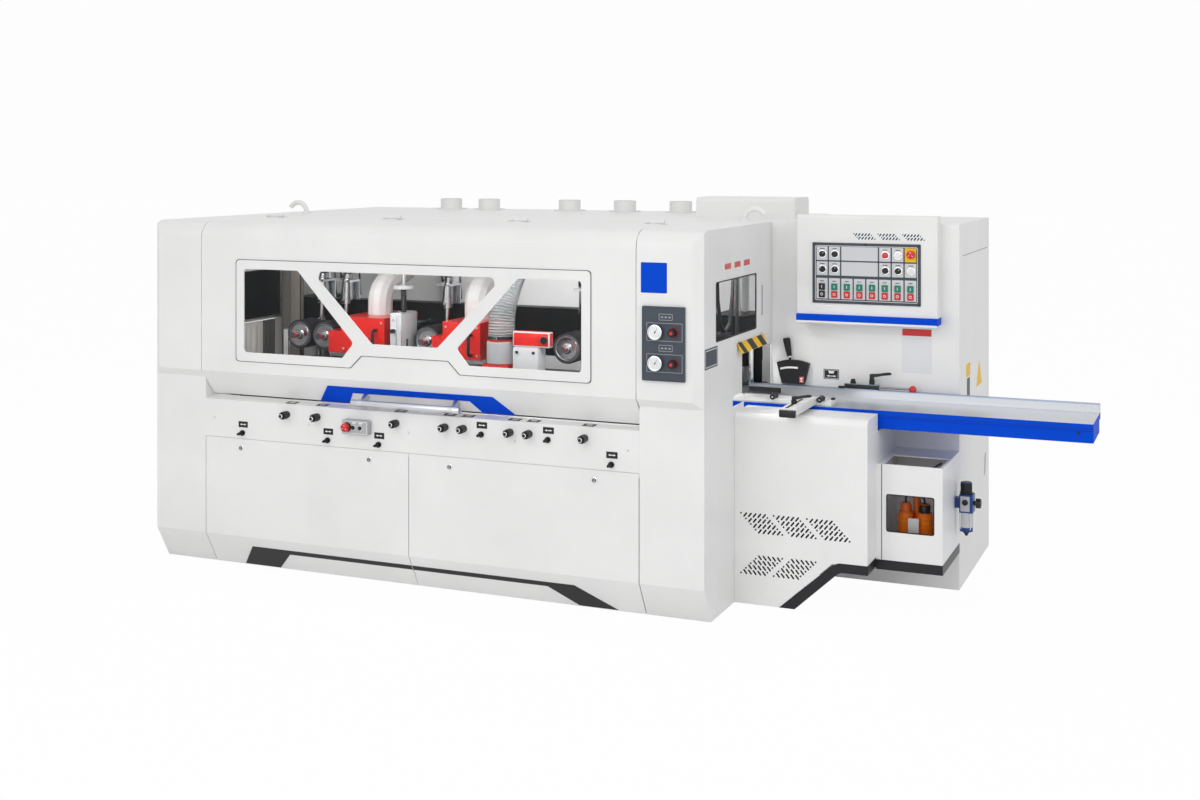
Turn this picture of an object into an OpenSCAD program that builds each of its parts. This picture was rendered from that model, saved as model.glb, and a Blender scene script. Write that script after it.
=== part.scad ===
// Four sided moulder: a floor machine that planes and profiles every face of a board
// while a powered feed carries it from the infeed table on the right to the left end.
// X runs along the feed, Y to the back, Z up; the origin is on the floor under the
// middle of the main body. Inside the modules Y is counted from the door plane.

/* [Main body] */
// Length of the main body between its end walls
body_l = 2580; // [2500:10:2800]
// Depth of the main body from the doors to the rear panel
body_d = 1870; // [1850:5:2000]
// Height of the roof above the floor
body_h = 1515; // [1500:5:1600]
// Width of each end cover
column_w = 265; // [240:5:280]
// Thickness of the folded sheet
sheet = 4; // [3:0.5:6]
// Shut line between loose panels
gap = 3; // [2:0.5:5]
// Gap under the panels that hang above the floor
foot_gap = 3; // [2:1:8]
// Height of the crease above the slanted toe
toe_h = 145; // [120:5:170]
// How far the toe runs in at the floor
toe_d = 82; // [60:2:90]
// How far the upper belt stands in front of the doors
belt_out = 32; // [20:1:40]
// Height of the lower crease of the upper belt
belt_z = 863; // [850:1:880]
// Length of the drive cover on the roof
drive_l = 481; // [440:1:500]
// Depth of the drive cover
drive_d = 243; // [220:1:300]
// Height of the drive cover
drive_h = 91; // [80:1:110]
// Slanted width at the outer edge of the belt
belt_chamfer = 37; // [25:1:50]
// Radius where the front turns into the roof
roof_r = 75; // [60:5:90]
// Height of the closed base
base_h = 140; // [120:5:145]

/* [Hood] */
// Depth from the door plane to the hinge line on the roof
hood_back = 440; // [400:10:480]
// Depth of the lower edge of the hood behind the door plane
hood_lip_y = 54; // [40:2:60]
// Height of the lower edge of the hood
hood_lip_z = 753; // [745:1:770]
// Depth of the folded edge at each end of the hood
hood_flange = 30; // [20:2:40]
// Length of the window frame
frame_l = 1668; // [1600:4:1750]
// Bottom of the window frame
frame_z0 = 915; // [905:1:930]
// Top of the window frame
frame_z1 = 1351; // [1340:1:1380]
// Thickness of the window frame plate
frame_t = 6; // [4:1:8]
// Border of the frame around the windows
frame_border = 38; // [30:1:45]
// How far the frame laps over its opening in the hood
frame_lap = 14; // [10:1:20]
// Width of the raised notch under the frame
notch_w = 520; // [440:10:600]
// Rise of that notch
notch_rise = 53; // [40:1:60]
// Half width of the middle window at its top
bar_top_x = 410; // [380:5:440]
// Half width of the middle window at its bottom
bar_low_x = 155; // [130:5:180]
// Width of the slanted bars between the windows
bar_w = 110; // [90:5:125]
// Corner radius of the windows
pane_r = 16; // [8:1:24]
// Distance between neighbouring roof hinges
hinge_pitch = 630; // [560:10:660]
// Radius of the hinge knuckles
knuckle_r = 9; // [7:0.5:12]
// Radius of the hinge pins
pin_r = 4; // [3:0.5:5]
// Half length of a hinge
hinge_w = 45; // [35:1:60]
// Radius of the hood handle tube
handle_r = 14; // [10:1:18]
// Length of the hood handle
handle_l = 510; // [400:10:640]
// How far the handle stands in front of the door plane
handle_out = 30; // [20:2:40]
// Height of the handle tube
handle_z = 768; // [762:1:780]
// Length of the handle trim along the lower edge of the hood
trim_l = 926; // [800:10:1000]
// Height of the handle trim along the slanted band
trim_h = 96; // [80:2:110]
// Width of the handle trim's border
trim_w = 30; // [20:1:40]

/* [Control strip and doors] */
// Bottom of the control strip
strip_z = 572; // [560:1:585]
// Height of the spindle adjusters
adjuster_z = 692; // [680:1:700]
// Radius of an adjuster shaft
adjuster_r = 10; // [8:0.5:12]
// Radius of an adjuster grip
grip_r = 15; // [13:0.5:18]
// How far an adjuster stands out of the strip
adjuster_out = 58; // [40:1:70]
// Radius of a lock bolt
lock_r = 7; // [5:0.5:8]
// Height of the button box on the strip
box_z = 665; // [655:1:675]
// Radius of the emergency stop heads
stop_r = 17; // [15:0.5:20]
// Travel of an emergency stop
stop_travel = 6; // [4:0.5:8]
// Height of the door locks
door_lock_z = 530; // [510:1:540]

/* [Bed and spindles] */
// Height of the work table
table_z = 781; // [770:1:790]
// Distance of the fence behind the door plane
fence_y = 839; // [830:1:850]
// Front face of the bed
bed_y0 = 480; // [470:1:485]
// Depth of the bed
bed_d = 650; // [640:5:700]
// Length of the bed
bed_l = 2400; // [2380:5:2420]
// Height of the bed casting
bed_h = 221; // [200:1:240]
// Wall of the bed casting
bed_wall = 30; // [20:1:40]
// Top thickness of the bed casting
bed_top = 45; // [35:1:60]
// Thickest board the machine is set to
work_h = 104; // [100:1:110]
// Radius of the horizontal cutterheads
head_r = 60; // [55:1:62]
// Radius of the upright cutterheads
side_head_r = 50; // [45:1:52]
// Radius of the spindle shafts
spindle_r = 20; // [15:1:25]
// Radius of the spindle motors
motor_r = 82; // [70:1:85]
// Length of a spindle motor
motor_l = 275; // [240:5:300]
// Radial clearance of a running shaft
run_fit = 0.05; // [0.02:0.01:0.1]

/* [Feed] */
// Radius of the feed rollers
roller_r = 65; // [60:1:68]
// Width of a feed roller
roller_w = 120; // [100:5:130]
// Front of the feed rollers
roller_y = 640; // [630:1:650]
// Height of the feed beam section
beam_h = 220; // [210:2:240]
// Depth of the feed beam section
beam_d = 80; // [70:1:85]
// Front of the feed beam
beam_y = 880; // [875:1:890]
// How far the feed beam can be lowered
beam_down = 90; // [60:1:90]
// Radius of the feed beam's guide posts
post_r = 40; // [30:1:45]

/* [Dust extraction] */
// Radius of the dust ports
port_r = 57.5; // [50:0.5:62]
// Height of the dust ports above the roof
port_h = 55; // [40:1:80]
// Distance of the dust ports in front of the rear face
port_back = 90; // [80:5:160]
// Wall of the ducts and ports
duct_wall = 3; // [2:0.5:5]
// Height of the level duct runs under the roof
duct_z = 1380; // [1350:5:1390]
// Ribs of the flexible hose
hose_ribs = 65; // [40:1:80]
// Height of a hose rib
rib_h = 4; // [2:0.5:6]
// Height of the top spindle hoods above the table
chip_hood_h = 272; // [255:1:275]

/* [Infeed] */
// Length of the infeed table
table_l = 1454; // [1300:2:1600]
// Front face of the infeed table
table_y = 565; // [560:1:575]
// Width of the infeed table top
table_w = 303; // [295:1:303]
// Height of the infeed table side
table_side = 73; // [60:1:76]
// Height of the fence above the table
fence_h = 36; // [30:1:40]
// Thickness of the fence
fence_t = 25; // [18:1:25]
// Length of the side guide
guide_l = 427; // [380:1:460]
// Width of the side guide plate
guide_w = 95; // [80:1:100]
// Clearance of pieces that slide on each other
slide_fit = 0.3; // [0.2:0.05:0.5]
// Length of the infeed cover
cover_l = 542; // [500:2:600]
// Front of the infeed cover
cover_y = 371; // [350:1:400]
// Top of the infeed cover
cover_top = 770; // [750:1:772]

/* [Cabinets] */
// Length of the electrical cabinet
cabinet_l = 805; // [780:5:860]
// Front of the electrical cabinet
cabinet_y = 901; // [896:1:920]
// Depth of the electrical cabinet
cabinet_d = 791; // [700:1:900]
// Height of the electrical cabinet
cabinet_h = 1516; // [1480:1:1600]
// Length of the operator housing
housing_l = 595; // [560:5:640]
// Depth of the operator housing in front of the cabinet
housing_d = 81; // [70:1:100]
// Bottom of the operator housing
housing_z = 1118; // [1110:1:1130]
// Height of the operator housing
housing_h = 432; // [400:1:450]
// Length of the operator panel
panel_l = 458; // [430:2:480]
// Height of the operator panel
panel_h = 256; // [240:1:270]
// Front of the lubrication cabinet
lube_y = 518; // [500:1:540]
// Bottom of the lubrication cabinet
lube_z = 160; // [150:1:180]
// Height of the lubrication cabinet
lube_h = 417; // [380:1:430]

/* [Hidden] */
$fn = 48;

// Main body edges, counted from the middle
body_x = body_l / 2;
column_x = body_x - column_w;
hood_x = column_x - gap;
band_turn = atan2(hood_lip_y + belt_out, belt_z - hood_lip_z);
hinge_y = hood_back - gap / 2;
hinge_shift = -25;
hinge_z = body_h + knuckle_r + 0.5;
roof_z = body_h - sheet;
port_foot = roof_z - 30;
port_y = body_d - port_back;

// Work stations along the feed, counted from the middle
top_last_x = -585;
top_first_x = -68;
left_x = 155;
right_x = 570;
bottom_x = 810;
roller_x = [-972, -832, -276, 428];
adjuster_x = [-595, -441, -56, 175, 260, 471, 555, 797];
lock_at = [[-828, 596], [-393, 596], [-143, 596], [338, 673], [635, 673], [908, 596]];
door_lock_x = [-836, -189, 193, 836];
port_x = [-770, -540, top_first_x, 244, 550];

// Bed, feed and spindle heights
bed_x = bed_l / 2;
bed_z = table_z - bed_h;
bed_y1 = bed_y0 + bed_d;
top_axis_z = table_z + work_h + head_r - 4;
bottom_axis_z = table_z - head_r - 1;
head_y0 = roller_y - 55;
head_y1 = fence_y - 4;
housing_y0 = bed_y1 - 140;
housing_y1 = bed_y1;
left_axis_y = bed_y0 + 65;
right_axis_y = fence_y + side_head_r + 6;
roller_z = table_z + work_h + roller_r;
beam_z = roller_z - 70;
beam_top = beam_z + beam_h;
post_x = 1100;
post_y = 1045;
post_top = 1480;

// Infeed and cabinet edges
table_x = bed_x + slide_fit;
fence_x1 = table_x + table_l;
cover_x1 = body_x + cover_l;
cabinet_x1 = body_x + cabinet_l;
cabinet_y1 = cabinet_y + cabinet_d;
housing_x0 = body_x + 135;
housing_x1 = housing_x0 + housing_l;
housing_front = cabinet_y - housing_d;
panel_x0 = housing_x0 + (housing_l - panel_l) / 2;
panel_z0 = housing_z + 60;
panel_front = housing_front - sheet;
panel_stop = [panel_x0 + panel_l - 38, panel_z0 + panel_h - 42];
quadrant_at = [1390, 846];
quadrant_y = fence_y + fence_t + 11;

// Hose and duct ends
collar_top = 990;
hose_bend = 350;
hose_end = 500;

function arc(c, r, a0, a1, n = 8) =
    [for (i = [0:n]) c + r * [cos(a0 + (a1 - a0) * i / n), sin(a0 + (a1 - a0) * i / n)]];
function unit(v) = v / norm(v);
function reversed(p) = [for (i = [len(p) - 1:-1:0]) p[i]];
function mirrored(p) = [for (q = reversed(p)) [-q[0], q[1]]];

// Points of a round corner of radius r at b, between a and c
function corner(a, b, c, r, n = 5) =
    let (u = unit(a - b), v = unit(c - b), half = acos(u * v) / 2)
    let (centre = b + unit(u + v) * r / sin(half), p = b + u * r / tan(half) - centre)
    let (q = b + v * r / tan(half) - centre, a0 = atan2(p[1], p[0]))
    let (turn = (atan2(q[1], q[0]) - a0 + 540) % 360 - 180)
    arc(centre, r, a0, a0 + turn, n);
function rounded(p, r) = let (n = len(p))
    [for (i = [0:n - 1]) each corner(p[(i + n - 1) % n], p[i], p[(i + 1) % n], r)];
function rounded_path(p, r) = let (n = len(p))
    [p[0], for (i = [1:n - 2]) each corner(p[i - 1], p[i], p[i + 1], r), p[n - 1]];

// Front outline of an end cover from the floor to the roof, inset by i
function cover_line(i, z0) = concat([[toe_d + i, z0], [i, toe_h], [i, belt_z - belt_out],
    [-belt_out + i, belt_z]], arc([roof_r - belt_out, body_h - roof_r], roof_r - i, 180, 90));
// Outline of the hood from its lower edge to the hinge line, inset by i
function hood_line(i) = concat([[hood_lip_y + i * cos(band_turn), hood_lip_z + i * sin(band_turn)],
    [-belt_out + i, belt_z + i * tan(band_turn / 2)]],
    arc([roof_r - belt_out, body_h - roof_r], roof_r - i, 180, 90), [[hood_back - gap, body_h - i]]);
function door_line(i) = [[toe_d + i, foot_gap], [i, toe_h], [i, strip_z - gap]];
// Outline of the window frame, inset by i
function frame_outline(i) = let (x = frame_l / 2 - i, k = i * tan(22.5), n = notch_w / 2 + k)
    [[-x, frame_z0 + i], [-x, frame_z1 - i], [x, frame_z1 - i], [x, frame_z0 + i],
    [n, frame_z0 + i], [n - notch_rise, frame_z0 + notch_rise + i],
    [notch_rise - n, frame_z0 + notch_rise + i], [-n, frame_z0 + i]];
// Window openings of the frame: the outer one on the left, then the middle one
function outer_window() = let (x = frame_l / 2 - frame_border, z0 = frame_z0 + frame_border)
    let (z1 = frame_z1 - frame_border, zm = frame_z0 + notch_rise + 50)
    [[-x, z0], [-x, z1], [-bar_top_x - bar_w, z1], [-bar_low_x - bar_w * 0.8, zm],
    [-bar_low_x - bar_w * 0.8 - 55, z0]];
function middle_window() = let (z1 = frame_z1 - frame_border, zm = frame_z0 + notch_rise + 50)
    [[-bar_top_x, z1], [bar_top_x, z1], [bar_top_x + 8, z1 - 34], [bar_low_x, zm],
    [-bar_low_x, zm], [-bar_top_x - 8, z1 - 34]];

// Path of the flexible hose at length t: straight up, round the bend, then level
hose_rise = duct_z - hose_bend - collar_top;
hose_arc = hose_bend * PI / 2;
hose_l = hose_rise + hose_arc + hose_end - hose_bend;
function hose_at(t) = t < hose_rise ? [0, collar_top + t]
    : t < hose_rise + hose_arc ? let (a = (t - hose_rise) / hose_bend * 180 / PI)
        [hose_bend - hose_bend * cos(a), duct_z - hose_bend + hose_bend * sin(a)]
    : [t - hose_rise - hose_arc + hose_bend, duct_z];

// A closed tube along a flat path of [run, height] points, in the plane y = 0
module flat_tube(outer, outer_r, inner, inner_r, sides) {
    all = concat(tube_rings(outer, outer_r, sides), tube_rings(inner, inner_r, sides));
    a = len(outer);
    b = len(inner);
    s = sides;
    wall = function(first, n, flip) [for (k = [0:n - 2], j = [0:s - 1])
        let (p = first + k * s + j, q = first + k * s + (j + 1) % s)
        each flip ? [[p, q, p + s], [q, q + s, p + s]] : [[p, p + s, q], [q, p + s, q + s]]];
    cap = function(o, i, flip) [for (j = [0:s - 1])
        let (p = o + j, q = o + (j + 1) % s, u = i + j, v = i + (j + 1) % s)
        each flip ? [[p, u, q], [q, u, v]] : [[p, q, u], [q, v, u]]];
    polyhedron([for (ring = all) each ring], concat(wall(0, a, true), wall(a * s, b, false),
        cap(0, a * s, true), cap((a - 1) * s, (a + b - 1) * s, false)));
}
function tube_rings(path, r, sides) = let (n = len(path))
    [for (k = [0:n - 1]) let (t = unit(path[min(k + 1, n - 1)] - path[max(k - 1, 0)]))
    [for (j = [0:sides - 1]) let (a = 360 * j / sides, m = r[k] * cos(a))
    [path[k][0] - t[1] * m, r[k] * sin(a), path[k][1] + t[0] * m]]];
function same(path, r) = [for (p = path) r];

module box(lo, hi) {
    translate(lo) cube(hi - lo);
}
module x_extrude(x0, x1) {
    translate([x0, 0, 0]) rotate([90, 0, 90]) linear_extrude(x1 - x0) children();
}
module y_extrude(y0, y1) {
    translate([0, y1, 0]) rotate([90, 0, 0]) linear_extrude(y1 - y0) children();
}
module x_rod(y, z, x0, x1, r) {
    translate([x0, y, z]) rotate([0, 90, 0]) cylinder(h = x1 - x0, r = r);
}
module y_rod(x, z, y0, y1, r) {
    translate([x, y0, z]) rotate([-90, 0, 0]) cylinder(h = y1 - y0, r = r);
}
module z_rod(x, y, z0, z1, r) {
    translate([x, y, z0]) cylinder(h = z1 - z0, r = r);
}
// Puts the door plane at its place in front of the origin
module from_doors() {
    translate([0, -body_d / 2, 0]) children();
}
// Puts a flat piece on the slanted band under the hood, up from its lower edge
module on_band() {
    translate([0, hood_lip_y, hood_lip_z]) rotate([band_turn, 0, 0]) children();
}

// Closed base that stands on the floor and carries the bed
module base_frame() {
    wall = 8;
    lo = [-body_x + sheet, toe_d + 28, 0];
    hi = [body_x - sheet, body_d - sheet, base_h];
    color("dimgray") from_doors() difference() {
        box(lo, hi);
        box(lo + [wall, wall, wall], hi - [wall, wall, wall]);
    }
}

// Cast bed with its pedestals, spindle housings, feed posts and the front press block
module machine_bed() {
    inner = [bed_wall, bed_wall, 0];
    leg_l = 260;
    leg_in = 40;
    slot = head_r + 15;
    pocket = side_head_r + 20;
    color("lightgray") from_doors() {
        difference() {
            union() {
                box([-bed_x, bed_y0, bed_z], [bed_x, bed_y1, table_z]);
                for (x = [-bed_x, bed_x - leg_l])
                    box([x, bed_y0 + leg_in, base_h], [x + leg_l, bed_y1 - leg_in, bed_z]);
            }
            box([-bed_x, bed_y0, bed_z] + inner - [0, 0, 1], [bed_x, bed_y1, table_z - bed_top] - inner);
            for (x = [-bed_x, bed_x - leg_l])
                box([x + bed_wall, bed_y0 + leg_in + bed_wall, base_h - 1],
                    [x + leg_l - bed_wall, bed_y1 - leg_in - bed_wall, bed_z + 1]);
            box([bottom_x - slot, table_y - 25, bottom_axis_z - slot - 5],
                [bottom_x + slot, bed_y1 + 1, table_z + 1]);
            z_rod(left_x, left_axis_y, table_z - bed_top - 1, table_z + 1, pocket - 14);
            z_rod(right_x, right_axis_y, table_z - bed_top - 1, table_z + 1, pocket);
        }
        for (x = [-post_x, post_x])
            z_rod(x, post_y, table_z, post_top, post_r);
        for (x = [top_last_x, top_first_x])
            horizontal_housing(x, top_axis_z, table_z, top_axis_z + 85);
        horizontal_housing(bottom_x, bottom_axis_z, bottom_axis_z - slot - 5, table_z - 2, slot - 1);
        upright_housing(left_x, left_axis_y, bed_y0 + bed_wall);
        upright_housing(right_x, right_axis_y, right_axis_y - 95);
        press_block();
    }
}
module horizontal_housing(x, z, z0, z1, half = 85) {
    difference() {
        box([x - half, housing_y0, z0], [x + half, housing_y1, z1]);
        y_rod(x, z, housing_y0 - 1, housing_y1 - 20, spindle_r + run_fit);
    }
}
module upright_housing(x, y, y0) {
    half = 95;
    top = table_z - bed_top;
    difference() {
        box([x - half, y0, bed_z], [x + half, y + half, top]);
        z_rod(x, y, bed_z + 60, top + 1, spindle_r + run_fit);
    }
}
// Block on the front of the bed that presses the board against the fence
module press_block() {
    x0 = left_x + 88;
    box([x0, bed_y0 + 2, table_z], [x0 + 118, bed_y0 + 80, table_z + 184]);
    box([x0 - 10, bed_y0 + 20, table_z + 184], [x0 + 165, bed_y0 + 60, table_z + 250]);
}

// Flange motors on the spindle housings, with ribs and terminal boxes
module spindle_motors() {
    color("slategray") from_doors() {
        for (s = [[top_last_x, top_axis_z], [top_first_x, top_axis_z], [bottom_x, bottom_axis_z]])
            translate([s[0], housing_y1, s[1]]) rotate([-90, 0, 0]) flange_motor();
        for (s = [[left_x, left_axis_y], [right_x, right_axis_y]])
            translate([s[0], s[1], bed_z]) rotate([180, 0, 0]) flange_motor();
    }
}
module flange_motor() {
    flange = 15;
    ribs = 6;
    pitch = motor_l / (ribs + 2);
    cylinder(h = flange, r = motor_r + 2);
    translate([0, 0, flange]) cylinder(h = motor_l, r = motor_r - 8);
    for (i = [1:ribs])
        translate([0, 0, flange + i * pitch]) cylinder(h = pitch / 3, r = motor_r);
    translate([-45, -motor_r - 18, flange + pitch]) cube([90, 40, 3 * pitch]);
}

// Folded end cover: front, roof strip and outer wall in one shell, right hand form,
// with a cheek that closes its inner side beside the hood's slanted band
module end_shell() {
    folded_shell();
    mid = sheet / 2;
    x_extrude(column_x, column_x + sheet) polygon([[mid, strip_z], [mid, belt_z - belt_out],
        [mid - belt_out, belt_z], [mid - belt_out, belt_z + hood_flange],
        [hood_lip_y + hood_flange, belt_z + hood_flange], [hood_lip_y + hood_flange, strip_z]]);
}
module folded_shell() {
    shift = sheet * norm([belt_chamfer, belt_out]) / belt_out;
    difference() {
        intersection() {
            x_extrude(column_x, body_x)
                polygon(concat(cover_line(0, foot_gap), [[body_d, body_h], [body_d, foot_gap]]));
            translate([0, 0, -1]) linear_extrude(body_h + 2)
                polygon([[column_x - 1, -2 * belt_out], [body_x - 2 * belt_chamfer, -2 * belt_out],
                    [body_x, 0], [body_x, body_d + 1], [column_x - 1, body_d + 1]]);
        }
        intersection() {
            x_extrude(column_x - 1, body_x - sheet)
                polygon(concat(cover_line(sheet, -1), [[body_d + 1, roof_z], [body_d + 1, -1]]));
            translate([0, 0, -2]) linear_extrude(body_h + 4)
                polygon([[column_x - 2, -2 * belt_out],
                    [body_x - 2 * belt_chamfer - shift, -2 * belt_out],
                    [body_x - sheet, (shift - sheet) * belt_out / belt_chamfer],
                    [body_x - sheet, body_d + 2], [column_x - 2, body_d + 2]]);
        }
    }
}
side_win = [[141, 1077], [667, 1306]];
mouth_top = table_z + 209;
mouth_y0 = 474;
mouth_y1 = 890;
mouth_step = 123;
mouth_sill = [table_z + 11, table_z + 53];
outfeed_y0 = 560;
module end_cover_right() {
    color("whitesmoke") from_doors() difference() {
        end_shell();
        box([body_x - 2 * sheet, mouth_y0, mouth_sill[0]], [body_x + 1, mouth_y1, mouth_top]);
        box([body_x - 2 * sheet, mouth_y0 - mouth_step, mouth_sill[0]],
            [body_x + 1, mouth_y0 + 1, mouth_sill[1]]);
        box([body_x - 2 * sheet, mouth_y0 + 24, table_z - table_side - 18],
            [body_x + 1, mouth_y1, mouth_sill[0] + 1]);
        box([body_x - 2 * sheet, side_win[0][0], side_win[0][1]], [body_x + 1, side_win[1][0], side_win[1][1]]);
    }
}
module end_cover_left() {
    color("whitesmoke") from_doors() difference() {
        mirror([1, 0, 0]) end_shell();
        box([-body_x - 1, outfeed_y0, table_z - 6], [-body_x + 2 * sheet, mouth_y1, mouth_top]);
    }
}
// Clear pane behind the opening in the right end wall
module side_window() {
    lap = 12;
    color("lightcyan", 0.4) from_doors()
        box([body_x - 2 * sheet, side_win[0][0] - lap, side_win[0][1] - lap],
            [body_x - sheet, side_win[1][0] + lap, side_win[1][1] + lap]);
}

// Roof behind the hood: a sheet with the fixed hinge leaves, plates between the dust
// ports and a strip behind them; the two outer ports stand on it
module roof_panel() {
    fold = 30;
    half = port_r + slide_fit;
    edge = concat([-column_x], [for (x = port_x) each [x - half, x + half]], [column_x]);
    color("whitesmoke") from_doors() {
        box([-column_x, hood_back, roof_z], [column_x, port_y - half, body_h]);
        box([-column_x, hood_back, body_h - fold], [column_x, hood_back + sheet, body_h]);
        for (i = [0:len(port_x)])
            box([edge[2 * i], port_y - port_r, roof_z], [edge[2 * i + 1], port_y + port_r, body_h]);
        box([-column_x, port_y + half, roof_z], [column_x, body_d, body_h]);
        for (x = [port_x[0], port_x[4]])
            dust_port(x);
        for (i = [-1.5:1:1.5])
            translate([i * hinge_pitch + hinge_shift, hinge_y, 0]) fixed_leaf();
    }
}
module fixed_leaf() {
    inner = hinge_w - 25;
    leaf = 40;
    clear = knuckle_r + 2;
    difference() {
        union() {
            box([-hinge_w, clear, body_h], [hinge_w, leaf, body_h + 3]);
            for (s = [-1, 1]) {
                x0 = s > 0 ? inner : -hinge_w;
                box([x0, 4, body_h], [x0 + 25, clear, body_h + 3]);
                x_rod(0, hinge_z, x0, x0 + 25, knuckle_r);
            }
        }
        x_rod(0, hinge_z, -hinge_w - 1, hinge_w + 1, pin_r + run_fit);
    }
}
module rear_panel() {
    color("gainsboro") from_doors()
        box([-body_x + sheet, body_d - sheet, foot_gap], [body_x - sheet, body_d, roof_z]);
}
// Inner dust ports, two lifting hooks and the cover over the beam drive, all on the roof
module roof_fittings() {
    cover_hi = [body_x - 3 * sheet, body_d - port_back - 226, body_h + drive_h];
    cover_lo = [cover_hi[0] - drive_l, cover_hi[1] - drive_d, body_h];
    color("whitesmoke") from_doors() {
        difference() {
            x_extrude(cover_lo[0], cover_hi[0])
                polygon(rounded_top(cover_lo, cover_hi, 22));
            x_extrude(cover_lo[0] + sheet, cover_hi[0] - sheet)
                polygon(rounded_top(cover_lo + [0, sheet, -1], cover_hi - [0, sheet, sheet], 18));
        }
        for (s = [-1, 1])
            translate([s * (body_x - 94), body_d / 2 + 25, body_h]) rotate([0, 0, s > 0 ? 180 : 0])
                lifting_hook();
        for (i = [1:3])
            dust_port(port_x[i]);
    }
}
module dust_port(x) {
    flange_z = body_h + slide_fit;
    difference() {
        union() {
            z_rod(x, port_y, port_foot, body_h + port_h, port_r);
            z_rod(x, port_y, flange_z, flange_z + sheet, port_r + 26);
        }
        z_rod(x, port_y, port_foot - 1, body_h + port_h + 1, port_r - duct_wall);
    }
}
function rounded_top(lo, hi, r) = concat([[lo[1], lo[2]]], arc([lo[1] + r, hi[2] - r], r, 180, 90),
    arc([hi[1] - r, hi[2] - r], r, 90, 0), [[hi[1], lo[2]]]);
module lifting_hook() {
    bar = 12;
    ring = 49;
    translate([ring, 0, 0]) cylinder(h = 6, r = 2 * bar);
    translate([0, 0, 3]) rotate([90, 0, 0])
        rotate_extrude(angle = 150) translate([ring, 0]) circle(r = bar, $fn = 24);
}

// Control strip under the hood, with bushes for the adjusters and the button box
module control_strip() {
    top = hood_lip_z - 18;
    lip = [hood_lip_y + 10, hood_lip_z - 8];
    flange = 20;
    color("whitesmoke") from_doors() {
        difference() {
            union() {
                x_extrude(-column_x, column_x) polygon([[0, strip_z], [0, top], lip, lip - [0, sheet],
                    [sheet, top - sheet], [sheet, strip_z]]);
                box([-column_x, sheet, strip_z - flange], [column_x, 2 * sheet, strip_z + flange]);
                for (x = adjuster_x)
                    y_rod(x, adjuster_z, -5, 12, grip_r + 2);
            }
            for (x = adjuster_x)
                y_rod(x, adjuster_z, -6, 13, adjuster_r + run_fit);
            for (p = lock_at)
                y_rod(p[0], p[1], -1, 2 * sheet + 1, lock_r + run_fit);
        }
        difference() {
            box([-302, -30, box_z - 29], [-179, 0, box_z + 29]);
            y_rod(-278, box_z, -31, -4, 8 + run_fit);
        }
        for (x = [-245, -212])
            y_rod(x, box_z, -38, -30, 9);
    }
}
// Small square ended bolts that lock the spindle slides
module lock_bolts() {
    color("black") from_doors() for (p = lock_at) {
        y_rod(p[0], p[1], -26, 40, lock_r);
        y_rod(p[0], p[1], -8, 0, lock_r + 5);
        y_rod(p[0], p[1], -38, -26, lock_r - 2);
    }
}
// Spindle adjuster: a shaft through the strip with a black grip
module adjuster(i) {
    color("black") from_doors() {
        y_rod(adjuster_x[i], adjuster_z, -adjuster_out + 14, 60, adjuster_r);
        y_rod(adjuster_x[i], adjuster_z, -adjuster_out + 12, -5 - slide_fit, grip_r);
        y_rod(adjuster_x[i], adjuster_z, -adjuster_out, -adjuster_out + 14, adjuster_r - 3);
        y_rod(adjuster_x[i], adjuster_z, 12 + slide_fit, 22, grip_r);
    }
}
module stop_head(x, y, z, stem) {
    y_rod(x, z, y - 26, y - 10, stop_r);
    y_rod(x, z, y - 10, y + stem, 8);
}
module front_estop() {
    color("red") from_doors() stop_head(-278, -30, box_z, 14);
}

// Hinged hood: front, slanted band and front part of the roof in one shell
module hood_shell() {
    color("whitesmoke") from_doors() difference() {
        union() {
            x_extrude(-hood_x, hood_x) polygon(concat(hood_line(0), reversed(hood_line(sheet))));
            for (x = [-hood_x, hood_x - sheet])
                x_extrude(x, x + sheet) polygon(concat(hood_line(0), reversed(hood_line(hood_flange))));
        }
        y_extrude(-belt_out - 1, sheet - belt_out + 1) polygon(frame_outline(frame_lap));
    }
}
module hood_frame() {
    color("whitesmoke") from_doors() y_extrude(-belt_out - frame_t, -belt_out) difference() {
        polygon(rounded(frame_outline(0), pane_r));
        polygon(rounded(outer_window(), pane_r));
        polygon(rounded(mirrored(outer_window()), pane_r));
        polygon(rounded(middle_window(), pane_r));
    }
}
module hood_pane() {
    color("lightcyan", 0.4) from_doors()
        y_extrude(-belt_out, sheet - belt_out) polygon(frame_outline(frame_lap + slide_fit));
}
// Blue trim on the slanted band and the tube handle on its two brackets
module hood_handle() {
    foot = trim_l / 2;
    head = foot - trim_h * 0.75;
    thick = 4;
    reach = handle_l / 2 - 40;
    color("royalblue") from_doors() {
        on_band() y_extrude(-thick, 0) polygon([[-foot, 1], [-head, trim_h], [head, trim_h], [foot, 1],
            [foot - 2.6 * trim_w, 1], [head - trim_w, trim_h - trim_w],
            [trim_w - head, trim_h - trim_w], [2.6 * trim_w - foot, 1]]);
        x_rod(-handle_out, handle_z, -handle_l / 2, handle_l / 2, handle_r);
        for (s = [-1, 1])
            x_extrude(s * reach - 8, s * reach + 8) polygon([[-handle_out + 4, handle_z - 10],
                [-handle_out + 4, handle_z + 10], band_point(52), band_point(24)]);
    }
}
function band_point(t) = [hood_lip_y - t * sin(band_turn), hood_lip_z + t * cos(band_turn)];
module hood_hinges() {
    inner = hinge_w - 26;
    clear = knuckle_r + 2;
    color("whitesmoke") from_doors() for (i = [-1.5:1:1.5])
        translate([i * hinge_pitch + hinge_shift, hinge_y, 0]) {
        box([-hinge_w, -40, body_h], [hinge_w, -clear, body_h + 3]);
        box([-inner, -clear, body_h], [inner, -4, body_h + 3]);
        x_rod(0, hinge_z, -inner, inner, knuckle_r);
        x_rod(0, hinge_z, -hinge_w, hinge_w, pin_r);
    }
}

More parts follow.
